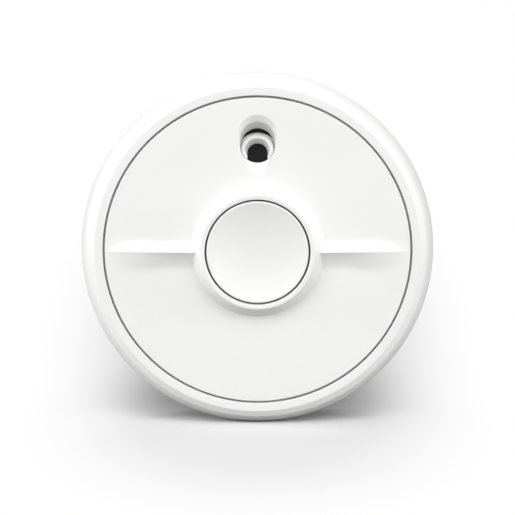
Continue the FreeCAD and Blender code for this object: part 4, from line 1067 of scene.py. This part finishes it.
# Finishes of the pieces that keep their CAD shape

CAD_FINISHES = {
    "horn_body": black_plastic,
    "chamber_tray": black_plastic,
    "chamber_cap": black_plastic,
    "power_plunger": moulded("grey_plastic", (0.30, 0.31, 0.33)),
    "test_switch_plunger": moulded("grey_stem", (0.28, 0.29, 0.31)),
    "piezo_disc": moulded("brass_disc", (0.78, 0.60, 0.28), 0.3, 0.05, 1.0, 0.06),
    "piezo_ceramic": moulded("ceramic", (0.62, 0.60, 0.55), 0.5, 0.1),
    "passives": moulded("chip_ceramic", (0.42, 0.36, 0.28), 0.5, 0.1, variation=0.3),
    "piezo_contacts": moulded("contact_metal", (0.75, 0.72, 0.65), 0.3, 0.05, 1.0),
    "battery_strips": moulded("nickel_strip", (0.72, 0.71, 0.68), 0.28, 0.05, 1.0),
    "insect_screen": moulded("screen_metal", (0.55, 0.55, 0.57), 0.35, 0.1, 1.0),
    "ir_emitter": moulded("clear_lens", (0.55, 0.60, 0.75), 0.12, 0.02),
    "photodiode": moulded("dark_lens", (0.03, 0.025, 0.04), 0.15, 0.02),
    "main_board": moulded("board_green", (0.03, 0.16, 0.07), 0.3, 0.08, variation=0.12),
    "battery_cell": moulded("battery_wrap", (0.07, 0.08, 0.11), 0.25, 0.04),
    "battery_pad": moulded("foam", (0.05, 0.05, 0.05), 0.9, 0.6, grain_scale=2600.0),
    "test_switch_body": moulded("switch_black", (0.02, 0.02, 0.022), 0.45, 0.1),
    "power_switch_body": moulded("power_black", (0.02, 0.02, 0.022), 0.45, 0.1),
    "microcontroller": moulded("chip_black", (0.018, 0.018, 0.02), 0.5, 0.15),
    "horn_coil": moulded("coil_winding", (0.24, 0.10, 0.04), 0.35, 0.3, 0.3, grain_scale=1500.0),
    "capacitors": moulded("capacitor_can", (0.70, 0.71, 0.73), 0.25, 0.05, 1.0),
    "status_led": moulded("led_lens", (0.75, 0.08, 0.06), 0.15, 0.02),
    "housing_screws": moulded("screw_steel", (0.62, 0.63, 0.65), 0.3, 0.08, 1.0),
    "board_screws": moulded("board_screw_steel", (0.60, 0.61, 0.63), 0.3, 0.08, 1.0),
}


def dress_cad_nodes():
    for name, material in CAD_FINISHES.items():
        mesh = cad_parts[name].data
        mesh.materials.clear()
        mesh.materials.append(material)


# Floor and backdrop, in metres

# Two eggs round the foot, each given as middle, half sizes, and where the rise starts. Past the first egg
# the stage glows plain white, a painted light that fades the real shadow out; inside the second egg a
# painted shadow darkens the stage's colour.
SHADOW = ((0.0, -0.02, -0.045), (0.095, 0.19, 0.085), 0.42)
PAINTED_SHADOW_CORE = ((0.0, 0.018, -0.064), (0.072, 0.055, 0.05), 0.2)
# How dark the painted shadow in the core gets, as a share of the stage's white
PAINTED_SHADOW_DEPTH = 0.32
STAGE_WHITE = 0.85
FLOOR_DULL = 0.35
FLOOR_REACH = 6.0

# The sheet: half its width, its start, its height above the floor, the bend's length and steps, its top
SHEET_REACH = 3.0
SHEET_START = -0.012
SHEET_LIFT = 0.0003
SHEET_BEND = 0.105
SHEET_STEPS = 48
SHEET_TOP = 1.5


def egg_fade(tree, middle, half, start):
    """0 inside an egg's core, rising softly to 1 at its surface."""
    place = tree.nodes.new("ShaderNodeTexCoord")
    shift = tree.nodes.new("ShaderNodeVectorMath")
    shift.operation = "SUBTRACT"
    shift.inputs[1].default_value = middle
    share = tree.nodes.new("ShaderNodeVectorMath")
    share.operation = "DIVIDE"
    share.inputs[1].default_value = half
    length = tree.nodes.new("ShaderNodeVectorMath")
    length.operation = "LENGTH"
    rise = tree.nodes.new("ShaderNodeMapRange")
    rise.interpolation_type = "SMOOTHSTEP"
    rise.inputs["From Min"].default_value = start
    rise.inputs["From Max"].default_value = 1.0
    tree.links.new(place.outputs["Object"], shift.inputs[0])
    tree.links.new(shift.outputs["Vector"], share.inputs[0])
    tree.links.new(share.outputs["Vector"], length.inputs[0])
    tree.links.new(length.outputs["Value"], rise.inputs["Value"])
    return rise.outputs["Result"]


def white_with_painted_shadow(tree):
    """A white that takes the real shade round the foot, has a painted shadow in its core, and is painted as
    a plain white glow further away.
    """
    shaded = tree.nodes.new("ShaderNodeBsdfDiffuse")
    # Painted shadow: the stage's colour darkens towards the core by the foot
    dark = [STAGE_WHITE * PAINTED_SHADOW_DEPTH] * 3
    tree.links.new(tint(tree, egg_fade(tree, *PAINTED_SHADOW_CORE), dark, [STAGE_WHITE] * 3), shaded.inputs["Color"])
    # Painted light: away from the foot a plain white glow covers the real shadow
    plain = tree.nodes.new("ShaderNodeEmission")
    plain.inputs["Color"].default_value = (1, 1, 1, 1)
    plain.inputs["Strength"].default_value = 1.0
    fade = egg_fade(tree, *SHADOW)
    return mix_shaders(tree, fade, shaded.outputs["BSDF"], plain.outputs["Emission"])


def front_only(tree, seen):
    """The camera's rays, where they meet a sheet from its front."""
    side = tree.nodes.new("ShaderNodeNewGeometry")
    front = tree.nodes.new("ShaderNodeMath")
    front.operation = "SUBTRACT"
    front.use_clamp = True
    tree.links.new(seen, front.inputs[0])
    tree.links.new(side.outputs["Backfacing"], front.inputs[1])
    return front.outputs["Value"]


def stage_material(name, dull):
    """White where the camera sees it; other rays meet a duller white, or nothing where dull is None."""
    material = bpy.data.materials.new(name)
    tree, surface = empty_tree(material, "ShaderNodeOutputMaterial")
    seen = tree.nodes.new("ShaderNodeLightPath").outputs["Is Camera Ray"]
    if dull is None:
        other = tree.nodes.new("ShaderNodeBsdfTransparent")
        seen = front_only(tree, seen)
    else:
        other = tree.nodes.new("ShaderNodeBsdfDiffuse")
        other.inputs["Color"].default_value = (dull, dull, dull, 1)
    tree.links.new(mix_shaders(tree, seen, other.outputs["BSDF"], white_with_painted_shadow(tree)), surface)
    return material


def make_stage_sheet(name, profile, reach, material):
    """A wide sheet that follows a profile of (depth, height) points in metres."""
    vertices = [(side * reach, y, z) for y, z in profile for side in (-1, 1)]
    faces = [(2 * i, 2 * i + 1, 2 * i + 3, 2 * i + 2) for i in range(len(profile) - 1)]
    mesh = bpy.data.meshes.new(name)
    mesh.from_pydata(vertices, [], faces)
    for face in mesh.polygons:
        face.use_smooth = True
    mesh.materials.append(material)
    sheet = bpy.data.objects.new(name, mesh)
    bpy.context.scene.collection.objects.link(sheet)


def sheet_curve(floor):
    """The sheet seen from the side: it lies on the floor, bends up softly and then stands."""
    depth, height = SHEET_START, floor + SHEET_LIFT
    curve = [(depth, height)]
    for k in range(SHEET_STEPS):
        share = (k + 0.5) / SHEET_STEPS
        turn = math.radians(90) * share * share * (3 - 2 * share)
        depth += math.cos(turn) * SHEET_BEND / SHEET_STEPS
        height += math.sin(turn) * SHEET_BEND / SHEET_STEPS
        curve.append((depth, height))
    return [*curve, (depth, SHEET_TOP)]


def make_stage():
    """A white floor that keeps the alarm's shadow, and a white sheet that sweeps up behind it; both take a
    painted shadow near the foot and fade into a painted white glow further away.
    """
    low = cad_box[0][2]
    floor = [(-FLOOR_REACH, low), (FLOOR_REACH, low)]
    make_stage_sheet("floor", floor, FLOOR_REACH, stage_material("floor_white", FLOOR_DULL))
    make_stage_sheet("backdrop", sheet_curve(low), SHEET_REACH, stage_material("backdrop_white", None))


# Light and camera

# Lamps: name, degrees to the right, degrees up, size and power
LAMPS = [
    ("key", 0, 40, 6.0, 243.0),
    ("left_low", -40, 20, 6.0, 309.0),
    ("left_high", -40, 45, 6.0, 120.0),
    ("right_low", 40, 20, 6.0, 236.0),
    ("right_high", 40, 45, 6.0, 139.0),
    ("side_left", -90, 10, 3.0, 400.0),
    ("side_right", 80, 10, 3.0, 246.0),
    ("back_high", 180, 60, 6.0, 245.0),
    ("back_low", 180, 12, 6.0, 160.0),
]
LAMP_DISTANCE = 9.0
WORLD_GLOW = 0.02

# The camera: degrees up, distance, where it looks, the width it frames there, and its sensor in mm
CAMERA_RISE = 7.2
CAMERA_DISTANCE = 0.95
CAMERA_TARGET = (0.0, -0.024, -0.0036)
CAMERA_FRAME = 0.1892
SENSOR = 36.0


def make_world():
    """White where it is seen, and a faint even light elsewhere."""
    world = bpy.data.worlds.new("studio")
    bpy.context.scene.world = world
    tree, surface = empty_tree(world, "ShaderNodeOutputWorld")
    glows = []
    for strength in (WORLD_GLOW, 1.0):
        glow = tree.nodes.new("ShaderNodeBackground")
        glow.inputs["Color"].default_value = (1, 1, 1, 1)
        glow.inputs["Strength"].default_value = strength
        glows.append(glow.outputs["Background"])
    path = tree.nodes.new("ShaderNodeLightPath")
    tree.links.new(mix_shaders(tree, path.outputs["Is Camera Ray"], *glows), surface)


def aim(thing, target):
    thing.rotation_euler = (Vector(target) - thing.location).to_track_quat("-Z", "Y").to_euler()


def make_lamps():
    """Soft square lamps, all at the same distance from the alarm."""
    for name, right, up, size, power in LAMPS:
        light = bpy.data.lights.new(name, "AREA")
        light.shape = "SQUARE"
        light.size = size
        light.energy = power
        lamp = bpy.data.objects.new(name, light)
        turn, rise = math.radians(right), math.radians(up)
        flat = LAMP_DISTANCE * math.cos(rise)
        lamp.location = (flat * math.sin(turn), -flat * math.cos(turn), LAMP_DISTANCE * math.sin(rise))
        bpy.context.scene.collection.objects.link(lamp)
        aim(lamp, (0, 0, 0))


def make_camera():
    """A long lens, a little above the alarm."""
    data = bpy.data.cameras.new("camera")
    camera = bpy.data.objects.new("camera", data)
    bpy.context.scene.collection.objects.link(camera)
    rise = math.radians(CAMERA_RISE)
    target = Vector(CAMERA_TARGET)
    camera.location = target + Vector((0, -math.cos(rise), math.sin(rise))) * CAMERA_DISTANCE
    aim(camera, target)
    data.sensor_width = SENSOR
    data.lens = SENSOR * CAMERA_DISTANCE / CAMERA_FRAME
    data.clip_start = 0.01
    data.clip_end = 50.0
    bpy.context.scene.camera = camera


make_shell()
make_face()
make_face_back()
make_scoop()
make_spout()
make_spout_foot()
make_gauze()
make_button()
make_housing()
make_screw_wells()
make_base()
make_base_fittings()
dress_cad_nodes()
make_stage()
make_world()
make_lamps()
make_camera()
bpy.context.scene.view_settings.view_transform = "Standard"
